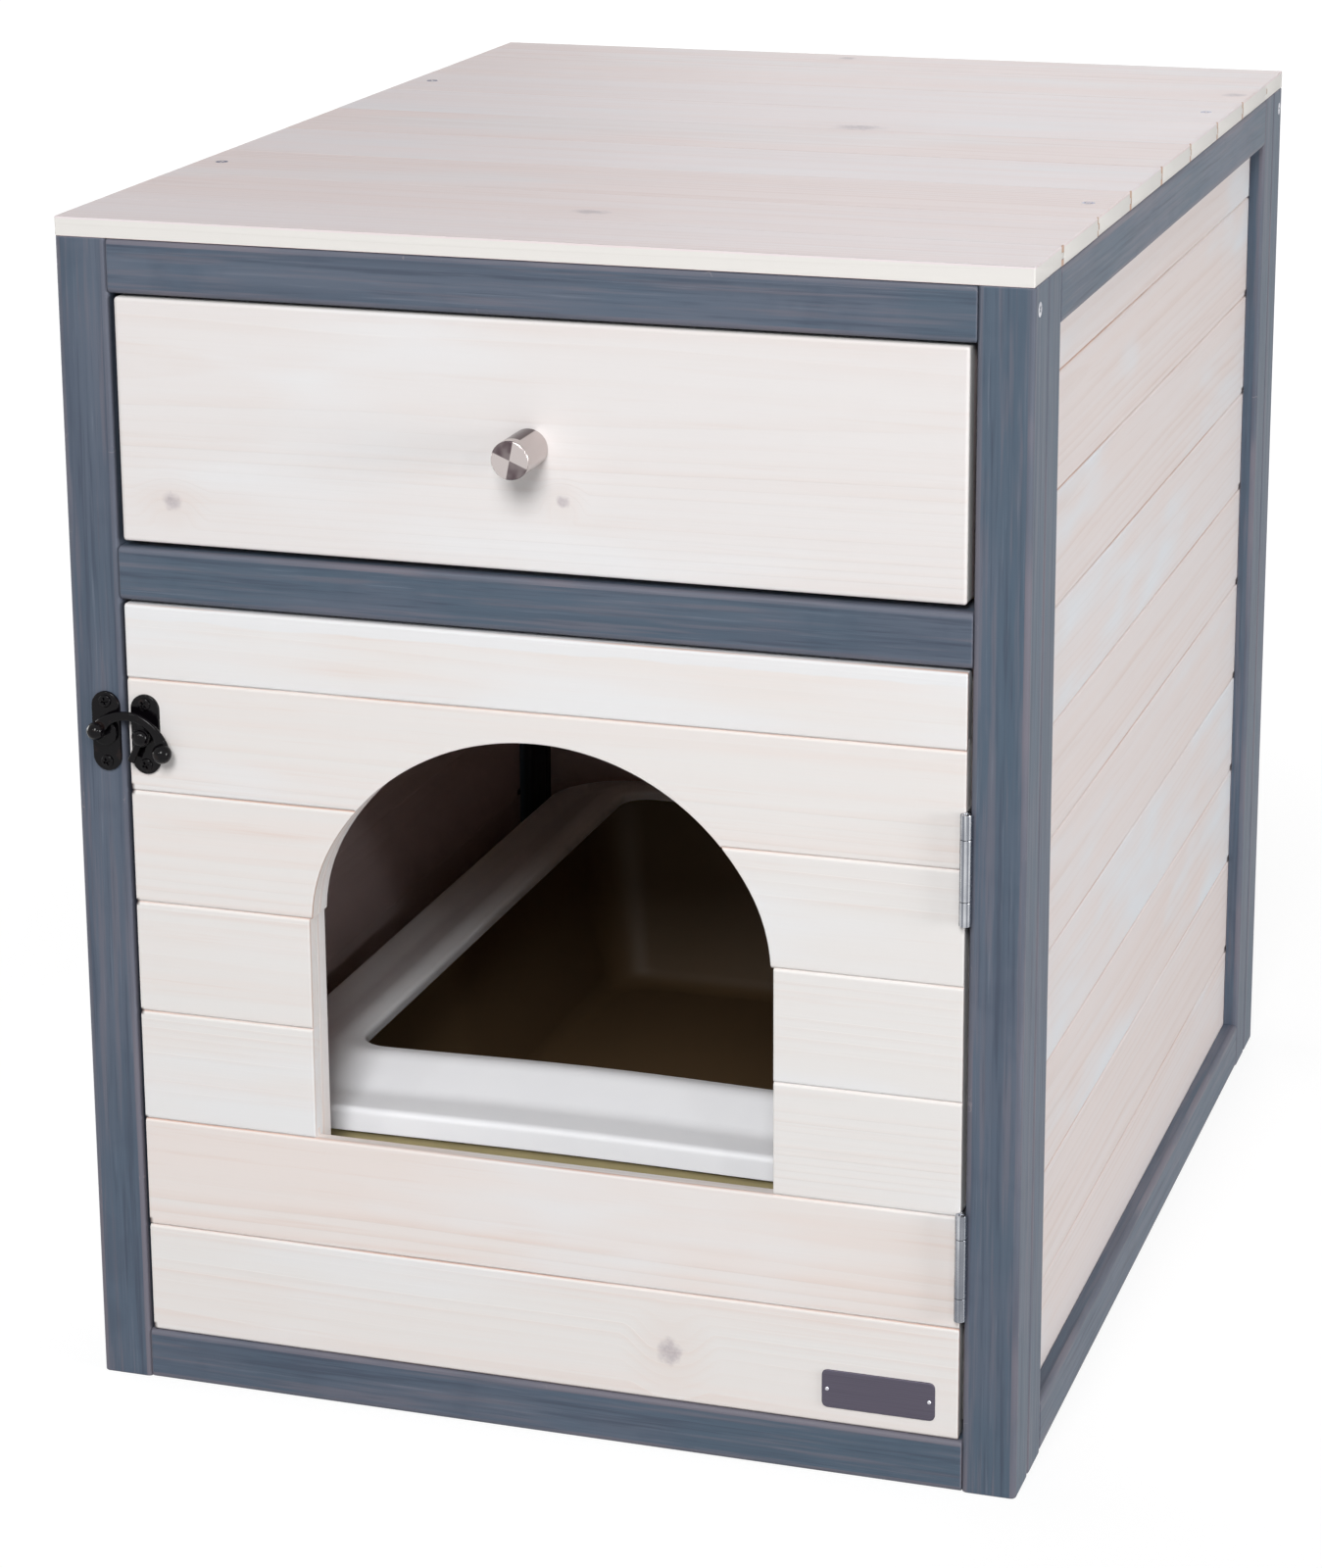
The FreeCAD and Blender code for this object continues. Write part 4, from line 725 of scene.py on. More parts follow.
def stained(name):
    """Blue-grey stain. It takes unevenly: broad streaks and blots are darker and bluer, fine
    lines stay dusky where wood shows through, and the edges are rubbed here and there. Inside the
    cabinet, towards the back, the stain is painted nearly black: painted shade."""
    f = Finish(name)
    g = grain(f, 0.0034, 0.010)
    colour = f.mix(0.45 + (f.ramp(g["streak"], 0.34, 0.66) - 0.4) * 0.55, SLATE_DARK, SLATE)
    colour = f.mix(f.ramp(g["cloud"], 0.44, 0.62) * 0.7, colour, SLATE_BLUE)
    blot = f.noise(f.place(), 30.0, 3.0, 0.6)
    colour = f.mix(f.ramp(blot, 0.50, 0.70) * 0.55, colour, SLATE_DARK)
    broad = f.noise(f.place(), 9.0, 2.0)
    colour = f.mix(f.ramp(broad, 0.44, 0.62) * 0.60, colour, TEAL)
    colour = f.mix(g["late"] * 0.35, colour, LATE_SLATE)
    colour = f.mix(f.ramp(g["fine"], 0.50, 0.66) * 0.45, colour, DUSK)
    colour = f.mix(f.ramp(g["fine"], 0.46, 0.34) * 0.55, colour, SLATE_DEEP)
    colour = f.mix(f.ramp(g["fibre"], 0.57, 0.78) * 0.38, colour, FIBRE_GREY)
    colour = f.mix(f.ramp(g["fibre"], 0.45, 0.30) * 0.38, colour, SLATE_DEEP)
    marks = f.noise(f.vector(g["along"] * 45, blot * 40, g["tint"] * 60), 1.0, 2.0)
    scratch = f.ramp(marks, 0.70, 0.78)
    rubbed = g["edge"] * (0.30 + f.ramp(g["cloud"], 0.44, 0.60) * 0.55)
    colour = f.mix(rubbed, colour, DUSK)
    colour = f.mix(g["edge"] * scratch * 0.6, colour, RUBBED)
    # painted shade: the stain turns nearly black inside the cabinet, behind its middle
    x, y, z = f.split(f.place())
    shaded_inside = f.ramp(f.math("ABSOLUTE", x), *PAINTED_SHADE_SIDES, 1.0, 0.0) * f.ramp(y, *PAINTED_SHADE_FRONT)
    colour = f.mix(shaded_inside * f.ramp(y, *PAINTED_SHADE_REAR, 0.9, 0.0), colour, PAINTED_SHADE)
    rough = 0.52 + (g["fibre"] - 0.5) * 0.3
    relief = g["fibre"] * 0.6 + g["late"] * 0.4
    return f.finish(colour, rough, relief, 0.00014, Specular_IOR_Level=0.35)


print("the unlit coat starts", PAINTED_SHADE_FRONT[0] / MM, "mm behind the middle")

# %% [markdown]
# ## Plain pine
# The floor, the cleats, the runners and the drawer's box are planed pine without a coat. The same
# grain does for them with fewer layers, because they show only past an open door or drawer.

# %% Plain pine
def pine(name, pale, line):
    """Planed pine without any paint."""
    f = Finish(name)
    g = grain(f)
    colour = f.mix(g["late"] * 0.7, pale, line)
    colour = f.mix(f.ramp(g["streak"], 0.35, 0.75) * 0.25, colour, line)
    return f.finish(colour, 0.6 + (g["fibre"] - 0.5) * 0.2, g["fibre"], 0.0001)


print("every wood reads the fields", ", ".join(POINT_FIELDS))

# %% [markdown]
# ## Plated metal
# Metal shows mostly what it mirrors, so its colour is nearly even, and its roughness and a very
# fine relief do the work. An image of scratched metal could be laid on, but noise needs no
# unwrapping. The hinges are rolled, and their barrels carry upright streaks.

# %% Plated metal
def metal(name, colour, shade, rough, lines=None):
    """Bare or plated metal: a fine mottle in the roughness and the relief, and duller patches.
    Lines is the colour of darker upright streaks."""
    f = Finish(name)
    place = f.place()
    mottle = f.noise(place, 900, 3.0, 0.6)
    patch = f.noise(place, 75, 2.0)
    tone = f.mix(f.ramp(patch, 0.35, 0.7) * 0.7, colour, shade)
    if lines is not None:
        x, y, z = f.split(place)
        streak = f.noise(f.vector(x * 700, y * 700, z * 7), 1.0, 2.0)
        tone = f.mix(f.ramp(streak, 0.44, 0.58) * 0.8, tone, lines)
    return f.finish(tone, rough + (mottle - 0.5) * 0.2, mottle, 0.00002, Metallic=1.0)


GALVANISED = (metal("galvanised", linear(208, 210, 214), linear(160, 163, 170), 0.26,
                    linear(104, 108, 118)), "galvanised_hinge", "_metal")
DULL_STEEL = (metal("dulled_steel", linear(84, 88, 114), linear(58, 64, 90), 0.5),
              "steel_fasteners", "_steel")
STEEL = (metal("zinc_steel", linear(206, 206, 212), linear(140, 142, 156), 0.30),
         "steel_fasteners", "_steel")
print("three plated metals, each with its material slot and a word for the pieces' names")

# %% [markdown]
# ## Black enamel
# The latch is cast and enamelled. A pure black would swallow its shape, so the base is a very
# dark grey, glossy and a little lumpy: its reflections draw the rounding. Brown dust lies here
# and there.

# %% Black enamel
def gloss_black(name, base, dust_colour):
    """Enamel on cast metal: nearly black, glossy, a little lumpy, with brown dust in places."""
    f = Finish(name)
    place = f.place()
    mottle = f.noise(place, 420.0, 2.0)
    dust = f.ramp(f.noise(place, 150.0, 3.0), 0.60, 0.72)
    colour = f.mix(dust * 0.5, base, dust_colour)
    return f.finish(colour, 0.11 + (mottle - 0.5) * 0.10, mottle, 0.00010, Specular_IOR_Level=0.16)


BLACK = (gloss_black("black_latch", linear(9, 7, 10), linear(44, 32, 29)), "black_latch", "_metal")
print("enamel:", BLACK[0].name)

# %% [markdown]
# ## Spun and brushed steel
# The knob's face is turned, and its circles mirror the room in bright and dark sectors. An
# anisotropic shader would make them too, but faint ones under soft lamps. Here these reflections
# are painted into the colour, as a cosine of the angle about the knob's own axis, so they stay in
# place from every side, and a dark band along the top of its side is a painted reflection too. The
# plate on the door's foot is rolled, bare and even, and its dark tone is partly a painted dark
# reflection.

# %% Spun and brushed steel
REFLECTION_SECTOR_ANGLE = 118
REFLECTION_BAND_ANGLE = 112
knob_low, knob_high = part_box("drawer_knob")
knob_face = ((knob_low[0] + knob_high[0]) / 2, knob_low[1], (knob_low[2] + knob_high[2]) / 2)


def steel_with_painted_reflections(name, centre, light, dark, deep):
    """Steel with its reflections painted into the colour. About the knob's axis the tone follows
    cos 2(u - u0), so two dark sectors of painted reflection face each other on its end, and a dark
    band of painted reflection lies along the top of its side."""
    f = Finish(name)
    x, y, z = f.split(f.place())
    turn = f.math("ARCTAN2", z - centre[2], x - centre[0])
    # painted reflection: two dark sectors on the end, and a dark band along the top of the side
    reflection_sector = f.math("COSINE", turn * 2 - math.radians(REFLECTION_SECTOR_ANGLE) * 2)
    on_face = f.ramp(y, centre[1] + 0.0004, centre[1] + 0.0008, 1.0, 0.0)
    face = f.ramp(reflection_sector, 0.10, 0.30)
    reflection_band_turn = f.math("COSINE", turn - math.radians(REFLECTION_BAND_ANGLE))
    side = f.ramp(reflection_band_turn, 0.70, 0.76) * f.ramp(y, centre[1] + 0.005, centre[1] + 0.0058)
    ring = f.noise(f.vector(0.0, y * 1800, 0.0), 1.0, 2.0)
    fade = f.ramp(f.noise(f.place(), 170.0, 1.0), 0.35, 0.65, 0.75, 1.0)
    tone = f.mix(face * on_face * fade, light, dark)
    tone = f.mix(side * (1 - on_face), tone, deep)
    return f.finish(tone, 0.20 + (ring - 0.5) * 0.12, None, Metallic=1.0)


def brushed_plate(name, light, dark):
    """A rolled plate, bare and even: nothing but fine level brush lines. Its dark tones are partly
    a painted dark reflection.
    """
    f = Finish(name)
    x, _, z = f.split(f.place())
    brush = f.noise(f.vector(x * 12, 0.0, z * 2600), 1.0, 2.0, 0.6)
    tone = f.mix(0.5 + (brush - 0.5) * 0.5, dark, light)
    return f.finish(tone, 0.42 + (brush - 0.5) * 0.1, brush, 0.00001, Metallic=1.0)


# the knob's dark and deep tones are painted reflections
KNOB = (steel_with_painted_reflections("brushed_knob", knob_face, linear(196, 187, 185), linear(90, 77, 81),
                     linear(62, 38, 42)), "brushed_knob", "_metal")
# the plate's dark tones are partly its metal and partly a painted dark reflection
BARE_PLATE = (brushed_plate("bare_plate", linear(112, 108, 122), linear(66, 61, 72)),
              "bare_plate", "_metal")
print("the knob's face is at", [round(float(level), 4) for level in knob_face])

# %% [markdown]
# ## Moulded plastic
# The tray's plastics are even, with a faint mottle and a fine matt grain. The pan's inner wall
# is painted darker and browner than its outside: painted shade. Two materials would meet in a hard
# line, so the mesh marks its inner wall with a number instead, and the finish mixes by it.

# %% Moulded plastic
def moulded(name, colour, shade, rough, inner=None):
    """Moulded plastic: an even colour with a faint mottle, and perhaps a darker inner wall of
    painted shade, where the field called edge is 1."""
    f = Finish(name)
    place = f.place()
    patch = f.noise(place, 60.0, 3.0)
    fine = f.noise(place, 2600.0, 2.0)
    tone = f.mix(f.ramp(patch, 0.3, 0.75) * 0.5, colour, shade)
    # painted shade: the inner wall darker and browner
    if inner is not None:
        tone = f.mix(f.attribute("edge")[0], tone, inner)
    return f.finish(tone, rough + (fine - 0.5) * 0.12, fine, 0.00002)


# the third colour is painted shade for the pan's inner wall
OLIVE_PAN = (moulded("olive_pan", linear(166, 154, 114), linear(154, 142, 104), 0.5,
                     linear(110, 88, 62)), "olive_pan", "_shell")
WHITE_RIM = (moulded("white_rim", linear(251, 252, 255), linear(247, 248, 252), 0.30),
             "white_rim", "_shell")
print("plastics:", OLIVE_PAN[0].name, WHITE_RIM[0].name)

# %% [markdown]
# ## The wood finishes of this cabinet
# One function makes all the whitewash, and each panel has its own tones: the sides and the top
# are cooler and thinner painted, the door and the drawer creamier. Knots are listed one by one,
# as a centre and a reach along each axis in metres, because the eye knows a board by its knots.

# %% Wood finishes
THICK = linear(236, 237, 239)
CREAM = linear(232, 229, 225)
DOOR_BACK = linear(238, 231, 228)
# painted shade where the top's seams end
TOP_SEAM_END_SHADE = linear(192, 162, 144)
DOOR_KNOTS = [((0.062, -0.287, 0.050), (0.0075, 0.02, 0.0080))]
DRAWER_KNOTS = [((-0.172, -0.287, 0.436), (0.006, 0.02, 0.005)),
                ((0.015, -0.287, 0.449), (0.004, 0.02, 0.0035))]
TOP_KNOTS = [((0.004, -0.212, 0.564), (0.011, 0.007, 0.02)),
             ((0.055, 0.057, 0.564), (0.016, 0.010, 0.02)),
             ((0.216, 0.217, 0.564), (0.008, 0.008, 0.02)),
             ((-0.018, 0.299, 0.564), (0.006, 0.006, 0.02))]
HEAD_BAND = 0.3795
STAINED = (stained("blue_grey_stain"), "stained_frame", "_timber")
WASHED_SIDE = (whitewash("washed_side", linear(237, 231, 231), linear(237, 224, 220),
                         linear(220, 200, 191), linear(234, 238, 243), 0.95,
                         notch=(1, 0.2565, 0.2620, 0.0270, NOTCH_SHADE)),
               "whitewashed_boards", "_planks")
WASHED_DOOR = (whitewash("washed_door", linear(235, 232, 230), linear(237, 226, 221),
                         linear(226, 202, 190), THICK, 0.7, DOOR_KNOTS, band=HEAD_BAND,
                         notch=(0, -0.1958, -0.1978, 0.0270, NOTCH_SHADE), back=DOOR_BACK),
               "whitewashed_boards", "_planks")
WASHED_DRAWER = (whitewash("washed_drawer", linear(233, 229, 228), linear(230, 220, 216),
                           linear(220, 198, 186), THICK, 0.7, DRAWER_KNOTS, edge=CREAM),
                 "whitewashed_boards", "_board")
WASHED_TOP = (whitewash("washed_top", linear(236, 228, 230), linear(235, 220, 218),
                        linear(220, 200, 196), linear(230, 233, 238), 0.35, TOP_KNOTS, edge=CREAM,
                        notch=(0, 0.2238, 0.2244, 0.0364, TOP_SEAM_END_SHADE)),
              "whitewashed_top", "_planks")
PLAIN_PINE = (pine("plain_pine", linear(216, 190, 154), linear(176, 132, 92)),
              "plain_pine", "_pine")
DRAWER_PINE = (pine("drawer_pine", linear(224, 200, 166), linear(190, 148, 108)),
               "drawer_pine", "_pine")
print(len(DOOR_KNOTS + DRAWER_KNOTS + TOP_KNOTS), "knots placed")

# %% [markdown]
# ## Frame timber
# The frame is square pine stock with rounded edges, and boards stand in grooves ploughed in it.
# A Boolean could plough them, but the section is one outline of eight corners, so the groove is
# simply part of it, and a board's edge disappears into a real shadow, as it does on the cabinet.

# %% Timbers of the frame
STOCK_ROUND = 2.5
GROOVE_EDGE = 7.85
GROOVE_DEPTH = 10.15
GROOVE_FACES = {
    "left_front_stile": "Y+", "right_front_stile": "Y+", "left_rear_stile": "Y-",
    "right_rear_stile": "Y-", "left_top_rail": "Z-", "right_top_rail": "Z-",
    "left_bottom_rail": "Z+", "right_bottom_rail": "Z+", "rear_post_left": "X+",
    "rear_post_right": "X-", "rear_top_rail": "Z-", "rear_bottom_rail": "Z+",
}


def timber_outline(stock, groove_face, first, second):
    """A square about its middle. A groove face such as Y+ gets a notch halfway along it. The
    first letter names the section's first direction; the second letter is not used."""
    half = stock / 2
    corners = np.array(rectangle((-half, -half), (half, half)), float)
    radii = np.full(4, STOCK_ROUND)
    if groove_face is None:
        return rounded(corners, radii, 4)
    side = half - GROOVE_EDGE
    floor_level = half - GROOVE_DEPTH
    notch = np.array([(-side, half), (-side, floor_level), (side, floor_level), (side, half)])
    corners = np.vstack([corners[:3], notch[::-1], corners[3:]])
    radii = np.concatenate([radii[:3], [0.3, 0, 0, 0.3], radii[3:]])
    points, worn = rounded(corners, radii, 4)
    letter, sign = groove_face
    if sign == "-":
        points = points * [1, -1]
    if letter == first:
        points = points[:, ::-1]
    return points, worn


def timber(node):
    """One timber: its section at its own box's middle, carried along its longest side."""
    low, high = box_mm(node)
    extent = high - low
    number = int(np.argmax(extent))
    along = "XYZ"[number]
    across, inwards = [letter for letter in "XYZ" if letter != along]
    stock = np.sort(extent)[0]
    outline, worn = timber_outline(stock, GROOVE_FACES.get(node), across, inwards)
    start = (low + high) / 2
    start[number] = 0
    shells = Shells()
    stick(shells, Lay(along, across, inwards, start), outline, worn, low[number], high[number],
          0.7, (14, 60))
    return piece(node, shells, [node], STAINED, 40)


timbers = [f"front_post_{side}" for side in ("left", "right")]
timbers += [f"front_{level}_rail" for level in ("top", "middle", "bottom")]
timbers += [f"{side}_{part}" for side in ("left", "right")
            for part in ("front_stile", "rear_stile", "top_rail", "bottom_rail")]
timbers += ["rear_post_left", "rear_post_right", "rear_top_rail", "rear_bottom_rail"]
for node in timbers:
    timber(node)
print(len(timbers), "timbers")

# %% [markdown]
# ## Tongue-and-groove panels
# Each side is ten boards. A board's section has a bevel along both face edges, a tongue on its
# upper edge and a groove below. Lines could be drawn on one flat panel, but then no light would
# catch the bevels, and the dark hairline between two boards is the real gap there.

# %% Board sections
BOARD_GAP = 0.02
BOARD_PITCH = 54.1
TONGUE = (4, 3, 0.15)
VEE = 1.0


def board_outline(width, thickness, vee, tongue, groove, soft=0.4):
    """The section (w, d) of one board, with its face at d = 0 and its foot at w = 0."""
    reach, thick, play = TONGUE
    middle = thickness / 2
    corners = [(vee, 0), (width - vee, 0), (width, vee)]
    radii = [soft] * 3
    if tongue:
        corners += [(width, middle - thick / 2), (width + reach, middle - thick / 2),
                    (width + reach, middle + thick / 2), (width, middle + thick / 2)]
        radii += [0] * 4
    corners += [(width, thickness), (0, thickness)]
    radii += [0.3, 0.3]
    if groove:
        slot = thick / 2 + play
        corners += [(0, middle + slot), (reach + 2 * play, middle + slot),
                    (reach + 2 * play, middle - slot), (0, middle - slot)]
        radii += [0] * 4
    corners.append((0, vee))
    radii.append(soft)
    return rounded(corners, radii, 2, 0.15)


def course_lines(start, end, pitch):
    """Full boards from the start, and a last one that is cut to fit."""
    return np.append(np.arange(start, end - 1e-6, pitch), end)


def panel(node, lay, lines, start, end, thickness, vee, finish, ease, ragged=0.0, gap=BOARD_GAP):
    """A panel of boards between lines. A ragged panel's boards end up to that much short."""
    shells = Shells()
    count = len(lines) - 1
    for number in range(count):
        last = number == count - 1
        width = lines[number + 1] - lines[number] - (0 if last else gap)
        outline, worn = board_outline(width, thickness, vee, not last, number > 0,
                                      min(0.4, vee / 2))
        short = draws.uniform(0, 1, 2) * ragged
        stick(shells, lay, outline + [lines[number], 0], worn, start + short[0], end - short[1],
              ease)
    return piece(node, shells, [node], finish)


side_lays = {"left": Lay("Y", "Z", "X"), "right": Lay("Y", "Z", "-X")}
for side, lay in side_lays.items():
    node = side + "_side_boards"
    low, high = box_mm(node)
    lay.start[0] = low[0] if side == "left" else high[0]
    lines = course_lines(low[2], high[2], BOARD_PITCH)
    panel(node, lay, lines, low[1], high[1], high[0] - low[0], VEE, WASHED_SIDE, 0)
low, high = box_mm("back_boards")
lines = course_lines(low[2], high[2], BOARD_PITCH)
panel("back_boards", Lay("X", "Z", "-Y", (0, high[1], 0)), lines, low[0], high[0],
      high[1] - low[1], VEE, WASHED_SIDE, 0)
print(len(lines) - 1, "boards at the back")

# %% [markdown]
# ## Top boards
# The boards of the top run across the cabinet, from side to side. Nobody trims such boards to a
# hair, so each is a random bit shorter at both ends, up to half a millimetre. That, and a tiny
# bevel, is enough for the top to read as boards and not as a sheet.

# %% Top boards
TOP_PITCH = 71.3
TOP_VEE = 0.3
TOP_RAGGED = 0.5
TOP_GAP = 0.06
low, high = box_mm("top_boards")
full_tops = int((high[1] - low[1]) // TOP_PITCH) - 1
edge_board = (high[1] - low[1] - TOP_PITCH * full_tops) / 2
top_lines = np.concatenate([[low[1]], low[1] + edge_board + TOP_PITCH * np.arange(full_tops + 1),
                            [high[1]]])
panel("top_boards", Lay("X", "Y", "-Z", (0, 0, high[2])), top_lines, low[0], high[0],
      high[2] - low[2], TOP_VEE, WASHED_TOP, 0.5, TOP_RAGGED, TOP_GAP)

# %% [markdown]
# ## The door and its arch
# The entrance is a sawn arch: straight sides, a tighter curve at each shoulder and a wide one
# over the crown. A Boolean would cut it, but its cut has no even rows of points. As a function of
# the level, the arch can be asked for its half width wherever a board needs it.

# %% The arch as a function
ENTRANCE_HALF = 111.2
SAW_STEP = 1.2
ARCH_RISE = 97.5
SHOULDER_RADIUS = 80
SPRING_DROP = 147.1
SILL_COURSES = 2
DOOR_PITCH = 54.2
door_low, door_top_corner = box_mm("door_board_1")[0], box_mm("door_top_board_1")[1]
door_face = door_low[1]
spring = door_top_corner[2] - SPRING_DROP
sill = door_low[2] + DOOR_PITCH * SILL_COURSES
upright_courses = round((spring - sill) / DOOR_PITCH)
straight_top = sill + DOOR_PITCH * upright_courses
head_half = ENTRANCE_HALF - SAW_STEP
CROWN_RADIUS = ((head_half ** 2 + ARCH_RISE ** 2 - 2 * head_half * SHOULDER_RADIUS)
                / (2 * (ARCH_RISE - SHOULDER_RADIUS)))
crown_centre = spring + ARCH_RISE - CROWN_RADIUS
shoulder_centre = head_half - SHOULDER_RADIUS
arch_top = spring + ARCH_RISE
meeting = spring + (spring - crown_centre) * SHOULDER_RADIUS / (CROWN_RADIUS - SHOULDER_RADIUS)


def arch_half(level):
    """Half the entrance's width at a level: on the shoulder c + sqrt(r^2 - (z - spring)^2), and
    above where the two curves meet sqrt(R^2 - (z - crown centre)^2)."""
    level = np.asarray(level, float)
    run = np.clip(SHOULDER_RADIUS ** 2 - (level - spring) ** 2, 0, None)
    crown = np.sqrt(np.clip(CROWN_RADIUS ** 2 - (level - crown_centre) ** 2, 0, None))
    curved = np.where(level < meeting, shoulder_centre + np.sqrt(run), crown)
    curved = np.where(level < spring, head_half, curved)
    return np.where(level < straight_top - 1e-6, ENTRANCE_HALF, curved)


def arch_level(across):
    """The arch's level at a distance from its middle, on the crown's curve."""
    return crown_centre + np.sqrt(CROWN_RADIUS ** 2 - np.asarray(across, float) ** 2)


print("crown radius", round(CROWN_RADIUS, 3), "curves meet at", round(meeting, 1))

# %% [markdown]
# ## Short boards beside the entrance
# Three courses stop at the arch. Each is a pile of thin level slices, with its outer edge at the
# door's side and its inner one at the arch's half width for that level, so the more slices there
# are, the smoother is the curve. The slices lie a little further back at the bevels.

# %% Courses beside the entrance
DOOR_THICKNESS = 9
DOOR_TINTS = {"foot": 0.30, "sill": 0.8, "left": (0.3, 0.2, 0.45), "right": (0.05, 0.1, 0.1),
              "arch": 0.4, "head": 0.45}
BEVEL_LEVELS = np.array([0, 0.45, 0.75, 1.0, 1.3])
BEVEL_DEPTHS = np.array([1, 0.55, 0.27, 0.07, 0])


def slice_levels(foot, head, bevel, step=4.0):
    """Levels from foot to head: a few where the face bevels, and even ones between."""
    near = BEVEL_LEVELS * bevel
    count = max(2, int((head - foot) / step))
    middle = np.linspace(foot + bevel * 2, head - bevel * 2, count)
    return np.concatenate([foot + near, middle, head - near[::-1]])


def face_bevel(levels, foot, head, bevel):
    """How far the face lies back at each level: a straight bevel, eased where it meets the
    face."""
    away = np.minimum(levels - foot, head - levels) / bevel
    return bevel * np.interp(away, BEVEL_LEVELS, BEVEL_DEPTHS)


door_lay = Lay("X", "Z", "Y", (0, door_face, 0))


def slices(shells, levels, outer, inner, face, back, tint, corner=0.5):
    """Pile up level rectangles between an outer and an inner x and two depths below the door's
    face, one of each for every level. The pile's grain runs along X, as in the boards."""
    rings = []
    for level, near, far, front_y in zip(levels, outer, inner, face):
        outline, worn = rounded(rectangle((near, front_y), (far, back)), corner, 2, 0.2)
        rings.append(np.column_stack([outline[:, 0], np.full(len(outline), level),
                                      outline[:, 1]]))
    local = np.array(rings)
    edge = np.broadcast_to(worn, local.shape[:2])
    add_local(shells, door_lay, local, edge, tint=tint)


for side, sign in (("left", -1), ("right", 1)):
    shells = Shells()
    node = f"door_{side}_boards"
    low, high = box_mm(node)
    rim = low[0] if side == "left" else high[0]
    for course in range(3):
        foot = sill + DOOR_PITCH * course
        head = foot + DOOR_PITCH - BOARD_GAP
        levels = slice_levels(foot, head, VEE)
        setback = face_bevel(levels, foot, head, VEE)
        slices(shells, levels, np.full(len(levels), rim), sign * arch_half(levels),
               setback, DOOR_THICKNESS, DOOR_TINTS[side][course])
    piece(node, shells, [node], WASHED_DOOR)

# %% [markdown]
# ## Whole boards of the door
# The foot board and the top board are plain sticks. The sill board loses its tongue between the
# entrance's sides, and the board over the entrance has the arch in its foot. Both are still one
# section carried along X: a section may change on its way, as long as it keeps its number of
# points, so a corner is moved and never taken out.

# %% Foot board and top board
door_left, door_right = door_low[0], door_top_corner[0]
END_EASE = 0.5


def door_course(node, foot, head, tongue, groove, tint):
    """One board right across the door."""
    shells = Shells()
    outline, worn = board_outline(head - foot, DOOR_THICKNESS, VEE, tongue, groove)
    stick(shells, door_lay, outline + [foot, 0], worn, door_left, door_right, END_EASE,
          tint=tint)
    return piece(node, shells, [node], WASHED_DOOR)


lines = course_lines(door_low[2], door_top_corner[2], DOOR_PITCH)
door_course("door_board_1", lines[0], lines[1] - BOARD_GAP, True, False, DOOR_TINTS["foot"])
door_course("door_top_board_1", lines[-2], lines[-1], False, True, DOOR_TINTS["head"])
print("the door has", len(lines) - 1, "courses")

# %% Sill board
SILL_LIP = 6.5
SILL_REBATE = 5.5
JUMP = 0.05


def between_ends(middle):
    """Places along the door with its eased ends before and after the given ones, and how far
    the section is drawn in at each."""
    edges, insets = eased(door_left, door_right, END_EASE)
    half = len(edges) // 2
    places = np.concatenate([edges[:half], middle, edges[half:]])
    return places, np.concatenate([insets[:half], np.zeros(len(middle)), insets[half:]])


def door_board(node, places, sections, foot, worn, tint):
    """A board of the door whose section changes from place to place."""
    local = local_rings(places, np.array(sections) + [foot, 0])
    shells = Shells()
    add_local(shells, door_lay, local, np.broadcast_to(worn, local.shape[:2]), tint=tint)
    return piece(node, shells, [node], WASHED_DOOR)


def sill_board():
    """The board under the entrance. Between the entrance's sides its tongue gives way to a
    rebate behind the lip: the same number of corners, so one section turns into the other."""
    width = DOOR_PITCH - BOARD_GAP
    reach, thick, play = TONGUE
    middle = DOOR_THICKNESS / 2
    outline, worn = board_outline(width, DOOR_THICKNESS, VEE, True, True)
    tongue = [(width, middle - thick / 2), (width + reach, middle - thick / 2),
              (width + reach, middle + thick / 2), (width, middle + thick / 2)]
    level = width - SILL_REBATE
    rebate = [(width, SILL_LIP - 1), (width, SILL_LIP), (width - SILL_REBATE / 2, SILL_LIP),
              (level, SILL_LIP)]
    cut = outline.copy()
    for corner, moved in zip(tongue, rebate):
        cut[np.all(np.isclose(outline, corner), 1)] = moved
    back = np.isclose(outline[:, 0], width) | (outline[:, 0] > level)
    behind = (outline[:, 1] > middle + thick) & back
    cut[behind, 0] = level - (width - outline[behind, 0])
    places, insets = between_ends([-ENTRANCE_HALF, -ENTRANCE_HALF + JUMP, ENTRANCE_HALF - JUMP,
                                   ENTRANCE_HALF])
    sections = []
    for place, inset in zip(places, insets):
        chosen = cut if abs(place) < ENTRANCE_HALF - JUMP / 2 else outline
        sections.append(drawn_in(chosen, inset))
    return door_board("door_sill_board", places, sections, lines[1], worn, DOOR_TINTS["sill"])


sill_board()

# %% Board over the entrance
ARCH_BEVEL = 0.35
ARCH_PLACES = 49
BEVEL_FADE = 0.6


